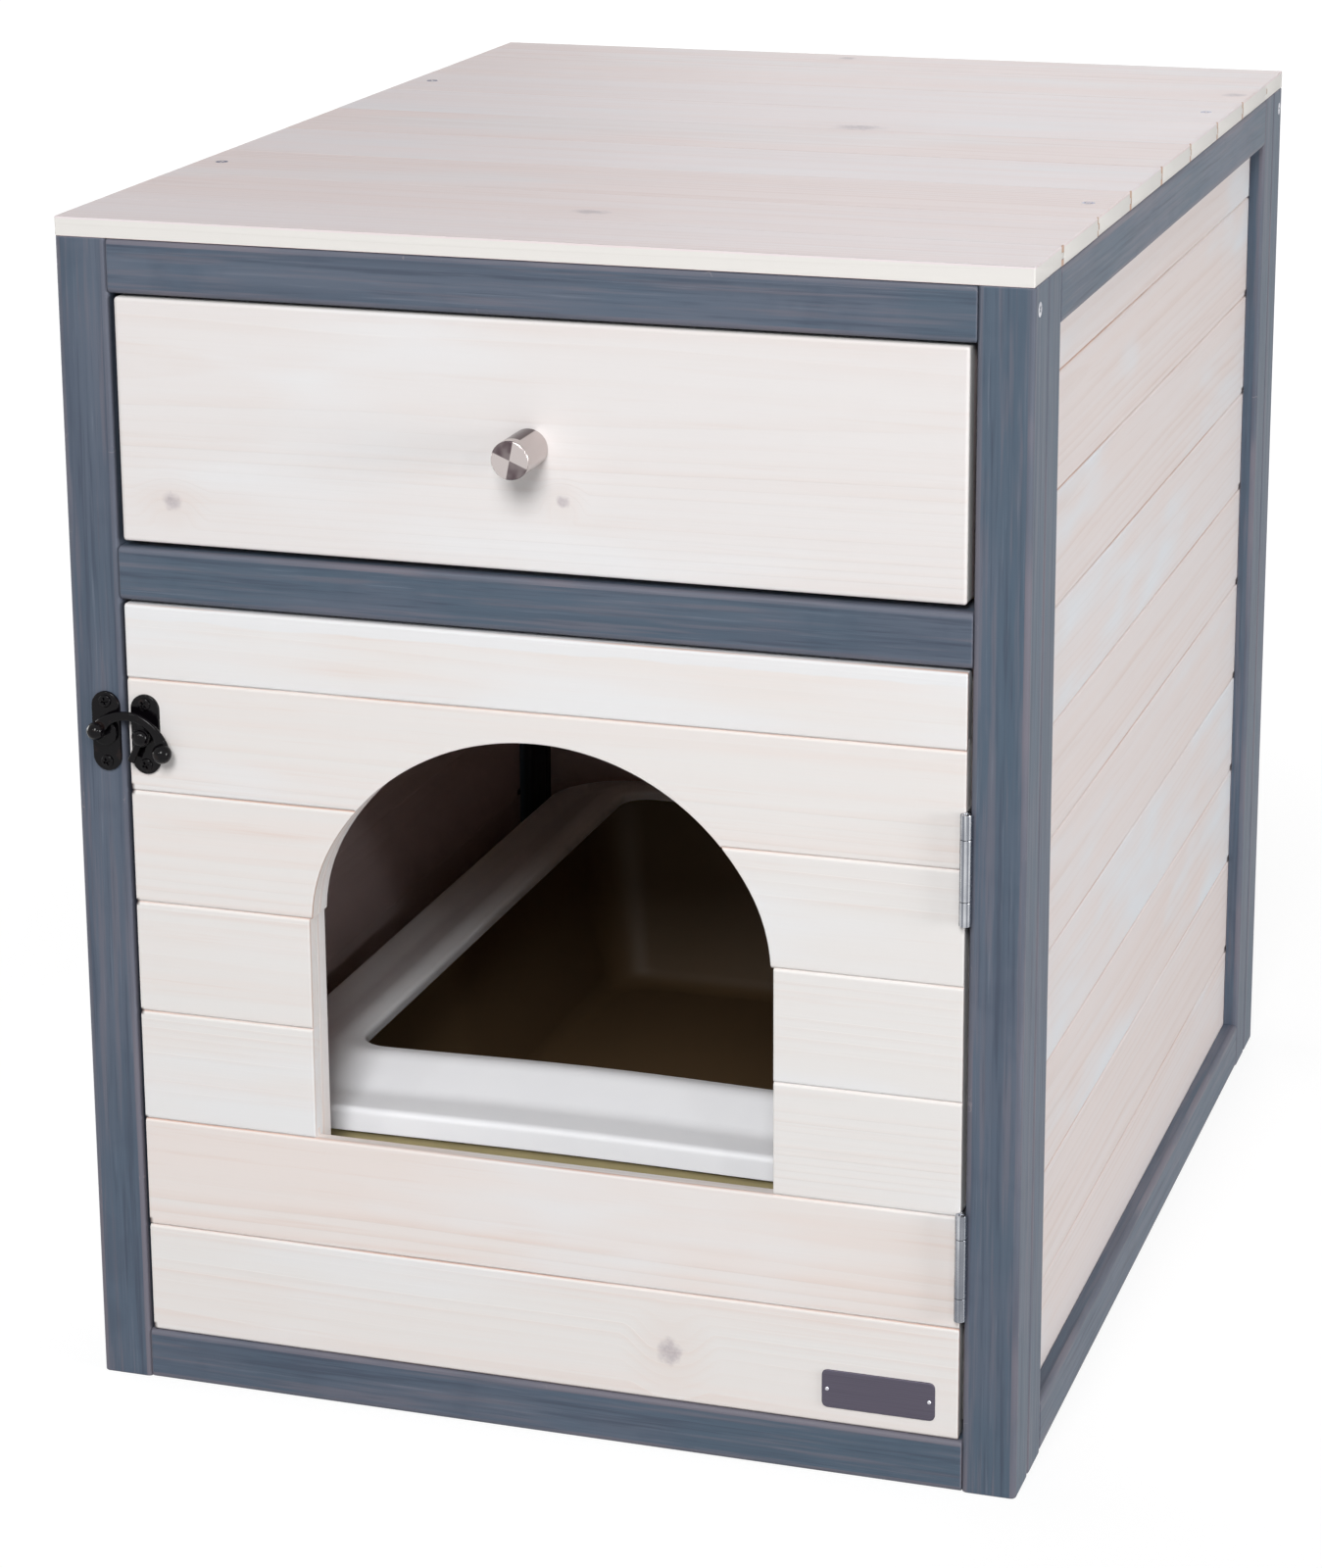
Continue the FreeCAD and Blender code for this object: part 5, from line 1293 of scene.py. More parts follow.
def arch_board():
    """The board over the entrance, carried along X. Its foot follows the arch where that is
    higher than the course's own foot, and its bevel is smaller there. The places along the arch
    are R sin u, evenly spaced in the angle u."""
    foot, head = lines[-3], lines[-2] - BOARD_GAP
    corner = math.sqrt(CROWN_RADIUS ** 2 - (foot - crown_centre) ** 2)
    angle = np.linspace(-1, 1, ARCH_PLACES) * math.asin(corner / CROWN_RADIUS)
    curve = CROWN_RADIUS * np.sin(angle)
    places, insets = between_ends([-corner - BEVEL_FADE, *curve, corner + BEVEL_FADE])
    width = head - foot
    reach, thick, play = TONGUE
    middle = DOOR_THICKNESS / 2
    sections = []
    for place, inset in zip(places, insets):
        over = abs(place) <= corner + 1e-6
        rise = float(arch_level(place)) - foot if over else 0.0
        bevel = ARCH_BEVEL if over else VEE
        corners = [(rise + bevel, 0), (width - VEE, 0), (width, VEE),
                   (width, middle - thick / 2), (width + reach, middle - thick / 2),
                   (width + reach, middle + thick / 2), (width, middle + thick / 2),
                   (width, DOOR_THICKNESS), (rise, DOOR_THICKNESS), (rise, bevel)]
        radii = [bevel * 0.4, 0.4, 0.4, 0, 0, 0, 0, 0.3, 0.3, bevel * 0.4]
        outline, worn = rounded(corners, radii, 2, 0.15)
        sections.append(drawn_in(outline, inset))
    return door_board("door_arch_board", places, sections, foot, worn, DOOR_TINTS["arch"])


arch_board()

# %% [markdown]
# ## The door's inner layer
# Behind the courses stand two wide upright boards that hold them together. Their grain runs
# upwards, so these are carried along Z, and their inner edge follows the same arch function from
# just below the sill to the crown.

# %% Inner layer
SILL_DROP = 12
STEP = 0.02
for side, sign in (("left", -1), ("right", 1)):
    node = f"door_batten_{side}"
    low, high = box_mm(node)
    rim, inner = (low[0], high[0]) if side == "left" else (high[0], low[0])
    ledge = sill - SILL_DROP
    levels = np.concatenate([[low[2], ledge - STEP, ledge, straight_top - STEP],
                             np.linspace(straight_top, arch_top, 40), [high[2]]])
    opening = np.maximum(arch_half(levels), abs(inner))
    outside = (levels < ledge - STEP / 2) | (levels > arch_top - STEP / 2)
    opening = np.where(outside, abs(inner), opening)
    shells = Shells()
    rings = []
    for level, far in zip(levels, opening):
        outline, worn = rounded(rectangle((rim, 0), (sign * far, high[1] - low[1])), 0.6, 2)
        rings.append(np.column_stack([np.full(len(outline), level), outline]))
    local = np.array(rings)
    add_local(shells, Lay("Z", "X", "Y", (0, low[1], 0)), local,
              np.broadcast_to(worn, local.shape[:2]))
    piece(node, shells, [node], WASHED_DOOR)

# %% [markdown]
# ## The drawer
# The front is one planed board with eased edges. Behind it is a plain box on two runners, which
# shows as soon as the drawer slides out, so it gets its own boards and grain as well.

# %% Drawer front and box
FRONT_ROUND = 1.5
low, high = box_mm("drawer_front")
outline, worn = rounded(rectangle((low[2], 0), (high[2], high[1] - low[1])),
                        [FRONT_ROUND, FRONT_ROUND, 0.5, 0.5], 4)
shells = Shells()
stick(shells, Lay("X", "Z", "Y", (0, low[1], 0)), outline, worn, low[0], high[0], 1.3, (30, 70),
      tint=0.2)
piece("drawer_front", shells, ["drawer_front"], WASHED_DRAWER)
bar("drawer_side_left", "Y", DRAWER_PINE)
bar("drawer_side_right", "Y", DRAWER_PINE)
bar("drawer_back", "X", DRAWER_PINE)
bar("drawer_bottom", "X", DRAWER_PINE, 0.3, 0.3)

# %% [markdown]
# ## Runners, floor and cleats
# The drawer slides on two bearers with an L for a section: a foot to run on and a guide beside
# the drawer. A block at the rear end stops it. Two outlines carried along Y make a runner, and
# the floor is a loose panel on two cleats. They stay plain, because hardly any light gets here.

# %% Runners, floor and cleats
RUNNER_GUIDE = 5
RUNNER_BEARING = 18
STOP_ROOM = 0.3


def runner(side):
    """A bearer with a guide: an L in section. The block at its rear end stops the drawer."""
    node = "drawer_runner_" + side
    low, high = box_mm(node)
    wall, sign = (low[0], 1) if side == "left" else (high[0], -1)
    lip, guide = wall + sign * RUNNER_BEARING, wall + sign * RUNNER_GUIDE
    bearing = low[2] + RUNNER_BEARING
    corners = [(wall, low[2]), (lip, low[2]), (lip, bearing), (guide, bearing), (guide, high[2]),
               (wall, high[2])]
    outline, worn = rounded(corners, 0.5, 2, 0.2)
    shells = Shells()
    lay = Lay("Y", "X", "Z")
    stick(shells, lay, outline, worn, low[1], high[1], 0.4)
    stop_front = box_mm("drawer_back")[1][1] + STOP_ROOM
    block_corners = rectangle((min(guide, lip), bearing), (max(guide, lip), high[2]))
    block, rubbed = rounded(block_corners, 0.5, 2, 0.2)
    stick(shells, lay, block, rubbed, stop_front, high[1], 0.4)
    return piece(node, shells, [node], PLAIN_PINE)


runner("left")
runner("right")
bar("floor_panel", "X", PLAIN_PINE)
bar("floor_cleat_left", "Y", PLAIN_PINE)
bar("floor_cleat_right", "Y", PLAIN_PINE)

# %% [markdown]
# ## Turned metal
# The knob, the hinge barrels and the screws are turned: a half outline of radii and places along
# an axis, carried round it. The Screw modifier would turn it too, but only an array of rings lets
# a head have its recess. An outline stops a hair short of the axis, and a flat cap closes it.

# %% Turning
AXIS_HOLE = 0.05


def turned(outline, centre, axis, segments=48):
    """Rings about an axis: the point at (r, h) goes to r cos u, r sin u and h along the axis."""
    outline = np.asarray(outline, float)
    turn = np.linspace(0, 2 * math.pi, segments, endpoint=False)
    heading = np.array(HEADINGS[axis], float)
    first = np.roll(np.abs(heading), 1)
    second = np.cross(heading, first)
    radius, height = outline[:, 0][:, None, None], outline[:, 1][:, None, None]
    return (np.array(centre) + radius * np.cos(turn)[None, :, None] * first
            + radius * np.sin(turn)[None, :, None] * second + height * heading)


def tube(shells, inner, outer, start, end, centre, axis, ease=0.25, segments=40):
    """A ring-shaped skin: a rectangular half outline that closes on itself round the axis."""
    outline, _ = rounded(rectangle((inner, start), (outer, end)), ease, 2, 0.1)
    shells.add(turned(outline, centre, axis, segments), closed=True)


print("a tube's ring has", len(rounded(rectangle((1, 0), (2, 9)), 0.25, 2, 0.1)[0]), "points")

# %% [markdown]
# ## Screws with a cross recess
# A screw's head is a polar grid, so its recess is only a dip in the grid's height: the deeper of
# two slots at right angles. A Boolean would leave slivers in the middle of the head. Sunk screws
# end flush, latch screws stand up with a low dome, and each is turned by a random angle.

# %% Screws
CROSS = {"reach": 0.56, "width": 0.26, "depth": 0.36, "deepest": 1.2}
SPIN = (0, 1.5)
SCREW_CREASE = 50


def cross_dip(x, y, reach, width, depth):
    """The depth of a cross recess: the deeper of two slots at right angles, with soft walls."""
    def slot(along, across):
        wall = np.clip((width / 2 - np.abs(across)) / 0.16 + 0.5, 0, 1)
        end = np.clip((reach - np.abs(along)) / 0.3 + 0.5, 0, 1)
        return wall * end
    return depth * np.maximum(slot(x, y), slot(y, x))


def screw(shells, centre, axis, head, rise, shank, length, dome=0.0, segments=96, spin=0.6):
    """A screw with a cross recess, turned from its own half outline. Its head stands up by its
    rise plus dome (1 - (r / R)^2), or is sunk as a cone where the rise is 0."""
    radius = head / 2
    edge = min(0.35, radius / 6)
    across = np.concatenate([[0.04], np.linspace(0.14, radius - edge, 22)])
    height = rise + dome * (1 - (across / radius) ** 2)
    turn = np.linspace(0, 2 * math.pi, segments, endpoint=False) + spin
    dip = cross_dip(across[:, None] * np.cos(turn), across[:, None] * np.sin(turn),
                    radius * CROSS["reach"], radius * CROSS["width"],
                    min(CROSS["deepest"], radius * CROSS["depth"]))
    top = turned(np.column_stack([across, height]), centre, axis, segments)
    top = top - dip[..., None] * np.array(HEADINGS[axis])
    sink = (head - shank) / 2
    if rise > 0:
        rest = [(radius - edge * 0.3, rise - edge * 0.3), (radius, rise - edge), (radius, 0.02),
                (shank / 2, 0)]
    else:
        rest = [(radius, -0.1), (shank / 2, -sink)]
    rest += [(shank / 2, AXIS_HOLE - length), (AXIS_HOLE, -length)]
    shells.add(np.vstack([top, turned(rest, centre, axis, segments)]))


def screws(node, places, axis, head, rise, shank, length, finish, dome=0.0):
    shells = Shells()
    for centre in places:
        screw(shells, centre, axis, head, rise, shank, length, dome, spin=draws.uniform(*SPIN))
    return piece(node, shells, [node], finish, SCREW_CREASE)


print("a 6.5 mm head's recess is", round(2 * 3.25 * CROSS["reach"], 2), "mm across")

# %% [markdown]
# ## The knob and its screw
# The knob is a plain length of bar. What makes it read as turned metal is its front edge: a
# quarter circle under a millimetre wide that catches a highlight. A Bevel modifier on a cylinder
# would round it too, but the half outline is only a few points more.

# %% Knob
KNOB_CHAMFER = 0.8
low, high = box_mm("drawer_knob")
knob_radius = (high[0] - low[0]) / 2
knob_centre = ((low[0] + high[0]) / 2, high[1], (low[2] + high[2]) / 2)
knob_length = high[1] - low[1]
face = np.linspace(AXIS_HOLE, knob_radius - KNOB_CHAMFER - 0.25, 12)
round_off = np.linspace(0, math.pi / 2, 7)
arc = np.column_stack([knob_radius - KNOB_CHAMFER * (1 - np.sin(round_off)),
                       knob_length - KNOB_CHAMFER * (1 - np.cos(round_off))])
bevel = [*arc, (knob_radius, knob_length - KNOB_CHAMFER - 0.5),
         (knob_radius, 1.2), (knob_radius, 0.6), (knob_radius - 0.4, 0.02), (AXIS_HOLE, 0)]
profile = np.vstack([np.column_stack([face, np.full(len(face), knob_length)]), bevel])
shells = Shells()
shells.add(turned(profile, knob_centre, "-Y", 96))
piece("drawer_knob", shells, ["drawer_knob"], KNOB, 30)
KNOB_SCREW = {"shank": 4, "length": 28}
low, high = box_mm("knob_screw")
front_back = box_mm("drawer_front")[1][1]
shells = Shells()
screw(shells, ((low[0] + high[0]) / 2, front_back, (low[2] + high[2]) / 2), "Y",
      high[0] - low[0], high[1] - front_back, KNOB_SCREW["shank"], KNOB_SCREW["length"])
piece("knob_screw", shells, ["knob_screw"], STEEL, SCREW_CREASE)

# %% [markdown]
# ## Hinges
# A butt hinge is two leaves and a pin. The leaves lie in the gap beside the door, so what shows is
# the barrel: three knuckles on one pin, with a hairline between them. A cylinder with two painted
# lines would do from the front, but each knuckle rides with its own leaf when the door opens.

# %% Butt hinges
LEAF = 0.9
END_KNUCKLE = 11.2
KNUCKLE_GAP = 0.2
PIN_RADIUS = 1.3
PIN_ROOM = 0.06
BARREL_RADIUS = 2.7
DOORWAY_EDGE = 200
LEAF_DEPTH = 15
HINGE_SCREW = {"head": 4, "shank": 2, "length": 12, "inset": 8.5}


def hinge_leaf(node, x_low, bands, bore):
    """One leaf: its plate, and for each band of the barrel a knuckle and a strap to it."""
    low, high = box_mm(node)
    axis_x, axis_y = (low[0] + high[0]) / 2, low[1] + BARREL_RADIUS
    leaf_front = axis_y + BARREL_RADIUS + KNUCKLE_GAP
    shells = Shells()
    leaf = rectangle((x_low, leaf_front), (x_low + LEAF, high[1]))
    strap = rectangle((x_low, axis_y + PIN_RADIUS + 0.3), (x_low + LEAF, leaf_front + 0.5))
    lay = Lay("Z", "X", "Y")
    stick(shells, lay, *rounded(leaf, 0.2, 2, 0.1), low[2], high[2], 0.25)
    for foot, head in bands:
        stick(shells, lay, *rounded(strap, 0.15, 2, 0.1), foot, head, 0.2)
        tube(shells, bore, BARREL_RADIUS, foot, head, (axis_x, axis_y, 0), "Z")
    return piece(node, shells, [node], GALVANISED, 40)


pins = Shells()
for level in ("upper", "lower"):
    low, high = box_mm(level + "_hinge_frame_leaf")
    foot, head = low[2], high[2]
    hinge_leaf(level + "_hinge_frame_leaf", DOORWAY_EDGE - LEAF,
               [(foot, foot + END_KNUCKLE), (head - END_KNUCKLE, head)], PIN_RADIUS)
    inner_foot = foot + END_KNUCKLE + KNUCKLE_GAP
    inner_head = head - END_KNUCKLE - KNUCKLE_GAP
    hinge_leaf(level + "_hinge_door_leaf", door_right, [(inner_foot, inner_head)],
               PIN_RADIUS + PIN_ROOM)
    centre = ((low[0] + high[0]) / 2, low[1] + BARREL_RADIUS, 0)
    half_pin = [(AXIS_HOLE, 0.15), (PIN_RADIUS * 0.6, 0.25), (PIN_RADIUS, 0.6)]
    pin = [(r, foot + end) for r, end in half_pin] + [(r, head - end) for r, end in half_pin[::-1]]
    pins.add(turned(pin, centre, "Z", 32))
piece("hinge_pins", pins, ["hinge_pins"], GALVANISED, 40)
for owner, x, axis in (("frame", DOORWAY_EDGE - LEAF, "-X"), ("door", door_right + LEAF, "X")):
    spots = []
    for level in ("upper", "lower"):
        low, high = box_mm(f"{level}_hinge_{owner}_leaf")
        for z in (low[2] + HINGE_SCREW["inset"], high[2] - HINGE_SCREW["inset"]):
            spots.append((x, door_face + LEAF_DEPTH / 2, z))
    screws("hinge_screws_" + owner, spots, axis, HINGE_SCREW["head"], 0, HINGE_SCREW["shank"],
           HINGE_SCREW["length"], STEEL)

# %% [markdown]
# ## Latch plates
# The latch is two small plates with round ends, one on the post and one on the door, and an arm
# that drops over a peg. A plate is its outline raised in steps, drawn in by a quarter circle at
# its front edge, which is where cast iron catches the light. The post's plate also has a round
# boss that carries the peg.

# %% Latch plates
PLATE = 1.5
BOSS = (12.4, 2.3)
PEG = (2.6, 2.3)


def stadium(half_width, half_height, steps=16):
    """A plate's outline: two half circles (r cos u, r sin u) about centres above and below the
    middle, which the straight sides join."""
    turn = np.linspace(0, math.pi, steps + 1)
    top = np.column_stack([np.cos(turn), np.sin(turn)]) * half_width
    top[:, 1] += half_height - half_width
    return np.vstack([top, -top])


def plate(shells, x, z, half_width, half_height, back, thickness, ease=0.45):
    """A stadium raised from back towards the front. Its front edge is a quarter circle."""
    turn = np.linspace(0, math.pi / 2, 4)
    insets = np.concatenate([[0, 0, 0], ease * (1 - np.cos(turn[1:])), [ease + 0.5]])
    rise = np.concatenate([[0, 0.2, thickness - ease], thickness - ease * (1 - np.sin(turn[1:])),
                           [thickness]])
    rings = [np.column_stack([ring[:, 0] + x, np.full(len(ring), back - height), ring[:, 1] + z])
             for ring, height in ((stadium(half_width - inset, half_height - inset), height)
                                  for inset, height in zip(insets, rise))]
    shells.add(np.array(rings))


def dome_profile(radius, foot, height, ease):
    """A turned boss: an upright side, an eased edge and a flat top."""
    turn = np.linspace(0, math.pi / 2, 5)
    edge = np.column_stack([np.cos(turn), np.sin(turn)]) * ease + [radius - ease, height - ease]
    return np.vstack([[(AXIS_HOLE, foot), (radius, foot + 0.02)], edge,
                      [(radius * 0.5, height), (AXIS_HOLE, height)]])


keeper_low, keeper_high = box_mm("latch_keeper")
plate_low, plate_high = box_mm("latch_door_plate")
keeper_x = (keeper_low[0] + keeper_high[0]) / 2
pivot_x = (plate_low[0] + plate_high[0]) / 2
latch_z = (plate_low[2] + plate_high[2]) / 2
plate_face = door_face - PLATE
half_size = ((plate_high[0] - plate_low[0]) / 2, (plate_high[2] - plate_low[2]) / 2)
shells = Shells()
plate(shells, keeper_x, latch_z, *half_size, door_face, PLATE)
keeper_middle = (keeper_x, plate_face, latch_z)
shells.add(turned(dome_profile(BOSS[0] / 2, 0, BOSS[1], 0.6), keeper_middle, "-Y"))
shells.add(turned(dome_profile(PEG[0] / 2, 0, BOSS[1] + PEG[1], 0.5), keeper_middle, "-Y", 32))
piece("latch_keeper", shells, ["latch_keeper"], BLACK, 40)
shells = Shells()
plate(shells, pivot_x, latch_z, *half_size, door_face, PLATE)
piece("latch_door_plate", shells, ["latch_door_plate"], BLACK, 40)

# %% [markdown]
# ## The swing arm
# The arm is one casting: a bow, a neck down to the eye on its rivet, a short tail and a ball at
# each end. A curve object with a bevel would give a round wire, but the bar is flat, so its
# section is carried along the bow's circle, square to its direction, and flares into the balls.
# The parts run into each other, as they do in cast iron.

# %% Bars and balls
ARM_SETBACK = 3.3
ARM_BACK = plate_face - ARM_SETBACK
ARM_THICK = 2.4
BOW = {"radius": 18, "bar": 4.2, "side": 7.1, "drop": 8.4, "catch": 146, "thumb": 6}
BALLS = {"catch": 8.6, "thumb": 9.2, "forward": 1.6}
TAIL = {"width": 3.2, "run": 5.6, "drop": 12}
FLARE = 0.6
FLARE_SHARE = 0.16
BRANCH_THIN = 0.3
EYE = 9
RIVET = {"shank": 3.2, "head": 7.8, "dome": 2.6, "room": 0.08, "gap": 0.3}


def swept(shells, path, width, thick, back, corner=1.1, taper=None):
    """Carry a flat bar's section along a path (x, z). At each place the section lies square to
    the path's own direction, from its back towards the front, and a taper scales its width."""
    path = np.asarray(path, float)
    heading = np.gradient(path, axis=0)
    heading = heading / np.linalg.norm(heading, axis=1)[:, None]
    side = np.column_stack([-heading[:, 1], heading[:, 0]])
    outline, _ = rounded(rectangle((-width / 2, 0), (width / 2, thick)), corner, 5, 0.1)
    grow = np.ones(len(path)) if taper is None else taper
    offset = outline[None, :, 0] * grow[:, None]
    rings = np.stack([path[:, None, 0] + side[:, None, 0] * offset,
                      np.broadcast_to(back - outline[None, :, 1], offset.shape),
                      path[:, None, 1] + side[:, None, 1] * offset], -1)
    shells.add(rings)


def cut_ball(shells, x, y, z, radius, back):
    """A ball (r cos u, r sin u) turned about the front direction, from its flat back to its
    front pole."""
    start = math.asin(np.clip((y - back) / radius, -1, 1))
    turn = np.linspace(start, math.pi / 2 - 0.02, 14)
    outline = np.vstack([[(AXIS_HOLE, radius * math.sin(start))],
                         np.column_stack([np.cos(turn), np.sin(turn)]) * radius])
    shells.add(turned(outline, (x, y, z), "-Y", 40))


print("the arm's bow has a radius of", BOW["radius"], "mm")

# %% Swing arm
bow_x, bow_z = pivot_x - BOW["side"], latch_z - BOW["drop"]
turn = np.radians(np.linspace(BOW["thumb"], BOW["catch"], 40))
bow = np.column_stack([bow_x + BOW["radius"] * np.cos(turn), bow_z + BOW["radius"] * np.sin(turn)])
ball_y = ARM_BACK - ARM_THICK / 2 - BALLS["forward"]
from_end = np.minimum(np.arange(len(bow)), np.arange(len(bow))[::-1]) / (len(bow) - 1)
flare = 1 + FLARE * np.exp(-(from_end / FLARE_SHARE) ** 2)
shells = Shells()
swept(shells, bow, BOW["bar"], ARM_THICK, ARM_BACK, taper=flare)
cut_ball(shells, bow[0, 0], ball_y, bow[0, 1], BALLS["thumb"] / 2, ARM_BACK)
catch_back = plate_face - BOSS[1] - RIVET["gap"]
cut_ball(shells, bow[-1, 0], ball_y, bow[-1, 1], BALLS["catch"] / 2, catch_back)
tube(shells, RIVET["shank"] / 2 + RIVET["room"], EYE / 2, 0, ARM_THICK,
     (pivot_x, ARM_BACK, latch_z), "-Y", 0.5)
branch = ARM_THICK - BRANCH_THIN
bow_over_pivot = bow_z + math.sqrt(BOW["radius"] ** 2 - BOW["side"] ** 2)
neck = np.linspace(latch_z + 2.6, bow_over_pivot, 6)
swept(shells, np.column_stack([np.full(6, pivot_x), neck]), BOW["bar"], branch, ARM_BACK)
share = np.linspace(0.22, 1, 10)
tail = np.column_stack([pivot_x - TAIL["run"] * share, latch_z - TAIL["drop"] * share])
swept(shells, tail, TAIL["width"], branch, ARM_BACK, 0.9)
piece("latch_arm", shells, ["latch_arm"], BLACK, 40)

# %% [markdown]
# ## Rivet and screws
# The rivet is one half outline, turned: a foot that keeps the arm off its plate, a shank through
# the arm's eye and a dome. The wood screws are sunk. A head in exactly the timber's own face
# would fight with it for the same points, so it stands out by about one coat of paint.

# %% Rivet and latch screws
rivet_front = ARM_SETBACK + ARM_THICK + RIVET["gap"]
head = RIVET["head"] / 2
dome = np.linspace(0.02, 1, 10)
cap = np.column_stack([head * np.cos(dome * 1.5),
                       rivet_front + RIVET["dome"] * np.sin(dome * 1.5)])
shells = Shells()
rivet = np.vstack([[(AXIS_HOLE, 0), (EYE / 2, 0.02), (EYE / 2, ARM_SETBACK - RIVET["gap"]),
                    (RIVET["shank"] / 2, ARM_SETBACK + 0.02 - RIVET["gap"]),
                    (RIVET["shank"] / 2, rivet_front - 0.02), (head - 0.1, rivet_front)], cap])
shells.add(turned(rivet, (pivot_x, plate_face, latch_z), "-Y"))
piece("latch_rivet", shells, ["latch_rivet"], BLACK, 40)
LATCH_SCREWS = {"spacing": 29, "head": 6, "rise": 0.75, "dome": 0.35, "shank": 3}
reach = LATCH_SCREWS["spacing"] / 2
for node, x, length in (("keeper_screws", keeper_x, 14), ("door_latch_screws", pivot_x, 10)):
    spots = [(x, plate_face, latch_z + reach), (x, plate_face, latch_z - reach)]
    screws(node, spots, "-Y", LATCH_SCREWS["head"], LATCH_SCREWS["rise"],
           LATCH_SCREWS["shank"], length, BLACK, LATCH_SCREWS["dome"])

# %% Wood screws
WOOD_SCREW = {"head": 6.5, "shank": 3.2, "frame": 38, "top": 25}
PROUD = 0.12
TOP_PROUD = 0.04
screw_radius = WOOD_SCREW["head"] / 2
shells = Shells()
low, high = box_mm("frame_screws")
for x, axis in ((low[0] - PROUD, "-X"), (high[0] + PROUD, "X")):
    for y in (low[1] + screw_radius, high[1] - screw_radius):
        screw(shells, (x, y, (low[2] + high[2]) / 2), axis, WOOD_SCREW["head"], 0,
              WOOD_SCREW["shank"], WOOD_SCREW["frame"], spin=draws.uniform(*SPIN))
piece("frame_screws", shells, ["frame_screws"], STEEL, SCREW_CREASE)
low, high = box_mm("top_screws")
spots = [(x, y, high[2] + TOP_PROUD) for x in (low[0] + screw_radius, high[0] - screw_radius)
         for y in (low[1] + screw_radius, high[1] - screw_radius)]
screws("top_screws", spots, "Z", WOOD_SCREW["head"], 0, WOOD_SCREW["shank"], WOOD_SCREW["top"],
       DULL_STEEL)

# %% [markdown]
# ## The bare plate
# A small rolled plate is nailed to the foot board, and nothing is stamped on it. Its outline is
# raised in five levels, and the last ones draw in, so that a fine edge catches the light. Each of
# its two nails is a turned half outline with a low round head.

# %% Plate and nails
PLATE_CORNER = 3.2
PLATE_LEVELS = ((0, 0), (0, 0.5), (0.08, 0.7), (0.25, 0.8), (0.6, 0.8))
NAIL_HEAD = 0.95
NAIL = [(AXIS_HOLE, -7), (0.5, -6.95), (0.5, -0.02), (NAIL_HEAD, 0), (NAIL_HEAD, 0.2), (0.8, 0.4),
        (0.5, 0.48), (AXIS_HOLE, 0.5)]
low, high = box_mm("name_plate")
shells = Shells()
rings = []
for inset, height in PLATE_LEVELS:
    sides = rectangle((low[0] + inset, low[2] + inset), (high[0] - inset, high[2] - inset))
    outline, _ = rounded(sides, PLATE_CORNER - inset, 8, 0.3)
    rings.append(np.column_stack([outline[:, 0], np.full(len(outline), high[1] - height),
                                  outline[:, 1]]))
shells.add(np.array(rings))
piece("name_plate", shells, ["name_plate"], BARE_PLATE, 40)
low, high = box_mm("name_plate_nails")
shells = Shells()
for x in (low[0] + NAIL_HEAD, high[0] - NAIL_HEAD):
    shells.add(turned(NAIL, (x, low[1] + NAIL[-1][1], (low[2] + high[2]) / 2), "-Y", 32))
piece("name_plate_nails", shells, ["name_plate_nails"], STEEL, SCREW_CREASE)

# %% [markdown]
# ## Litter tray
# The pan and its rim are moulded plastic. Every level of them is a rectangle with round corners,
# so one profile of insets and levels, carried round such a rectangle, makes each of them. A
# subdivided box would be quicker to draw, but nobody could say the radius of its corners.

# %% Round rectangles
def round_ring(half_x, half_y, radius, level, middle_y, steps=10, straight=12):
    """A level ring: quarter circles (r cos u, r sin u) at the corners, and even steps
    a(1 - t) + bt along the sides between them."""
    turn = np.linspace(0, math.pi / 2, steps + 1)
    corner = np.column_stack([np.cos(turn), np.sin(turn)]) * radius
    parts = []
    for quarter in range(4):
        sx, sy = ((1, 1), (-1, 1), (-1, -1), (1, -1))[quarter]
        arc = corner if quarter % 2 == 0 else corner[::-1]
        parts.append(arc * [sx, sy] + [sx * (half_x - radius), sy * (half_y - radius)])
    ring = []
    for quarter in range(4):
        ring.append(parts[quarter])
        ahead = parts[(quarter + 1) % 4][0]
        t = np.linspace(0, 1, straight + 2)[1:-1, None]
        ring.append(parts[quarter][-1] * (1 - t) + ahead * t)
    ring = np.vstack(ring)
    return np.column_stack([ring[:, 0], ring[:, 1] + middle_y, np.full(len(ring), level)])


rim_low, rim_high = box_mm("litter_pan_rim")
pan_low, pan_high = box_mm("litter_pan")
tray_half = (rim_high - rim_low)[:2] / 2
tray_middle = (rim_high[1] + rim_low[1]) / 2
RIM = {"wall": 2.5, "skirt": 12, "lean": 2, "ledge": 19, "step": 1, "slope": 23, "rise": 12,
       "crown": 10, "lip": 7, "corner": 46, "mouth": 16}


def level_ring(inset, corner, level):
    return round_ring(tray_half[0] - inset, tray_half[1] - inset, corner, level, tray_middle)


def nested(profile, corner_of):
    """Rings for a profile of insets and levels, with a corner radius for each inset."""
    return np.array([level_ring(inset, corner_of(inset), level) for inset, level in profile])


print("the tray is", [round(float(size) * 2) for size in tray_half], "mm")

# %% [markdown]
# ## The rim
# The rim clips over the pan: an upright skirt, a ledge, a slope up to a crown, and a lip inside.
# Its section is closed, so it is carried round as a tube, with corners that get tighter from
# outside in. A moulded rim is never quite straight: the middle of its front stands a little up,
# by a squared cosine across it, times the square of what is left of a reach towards the back.

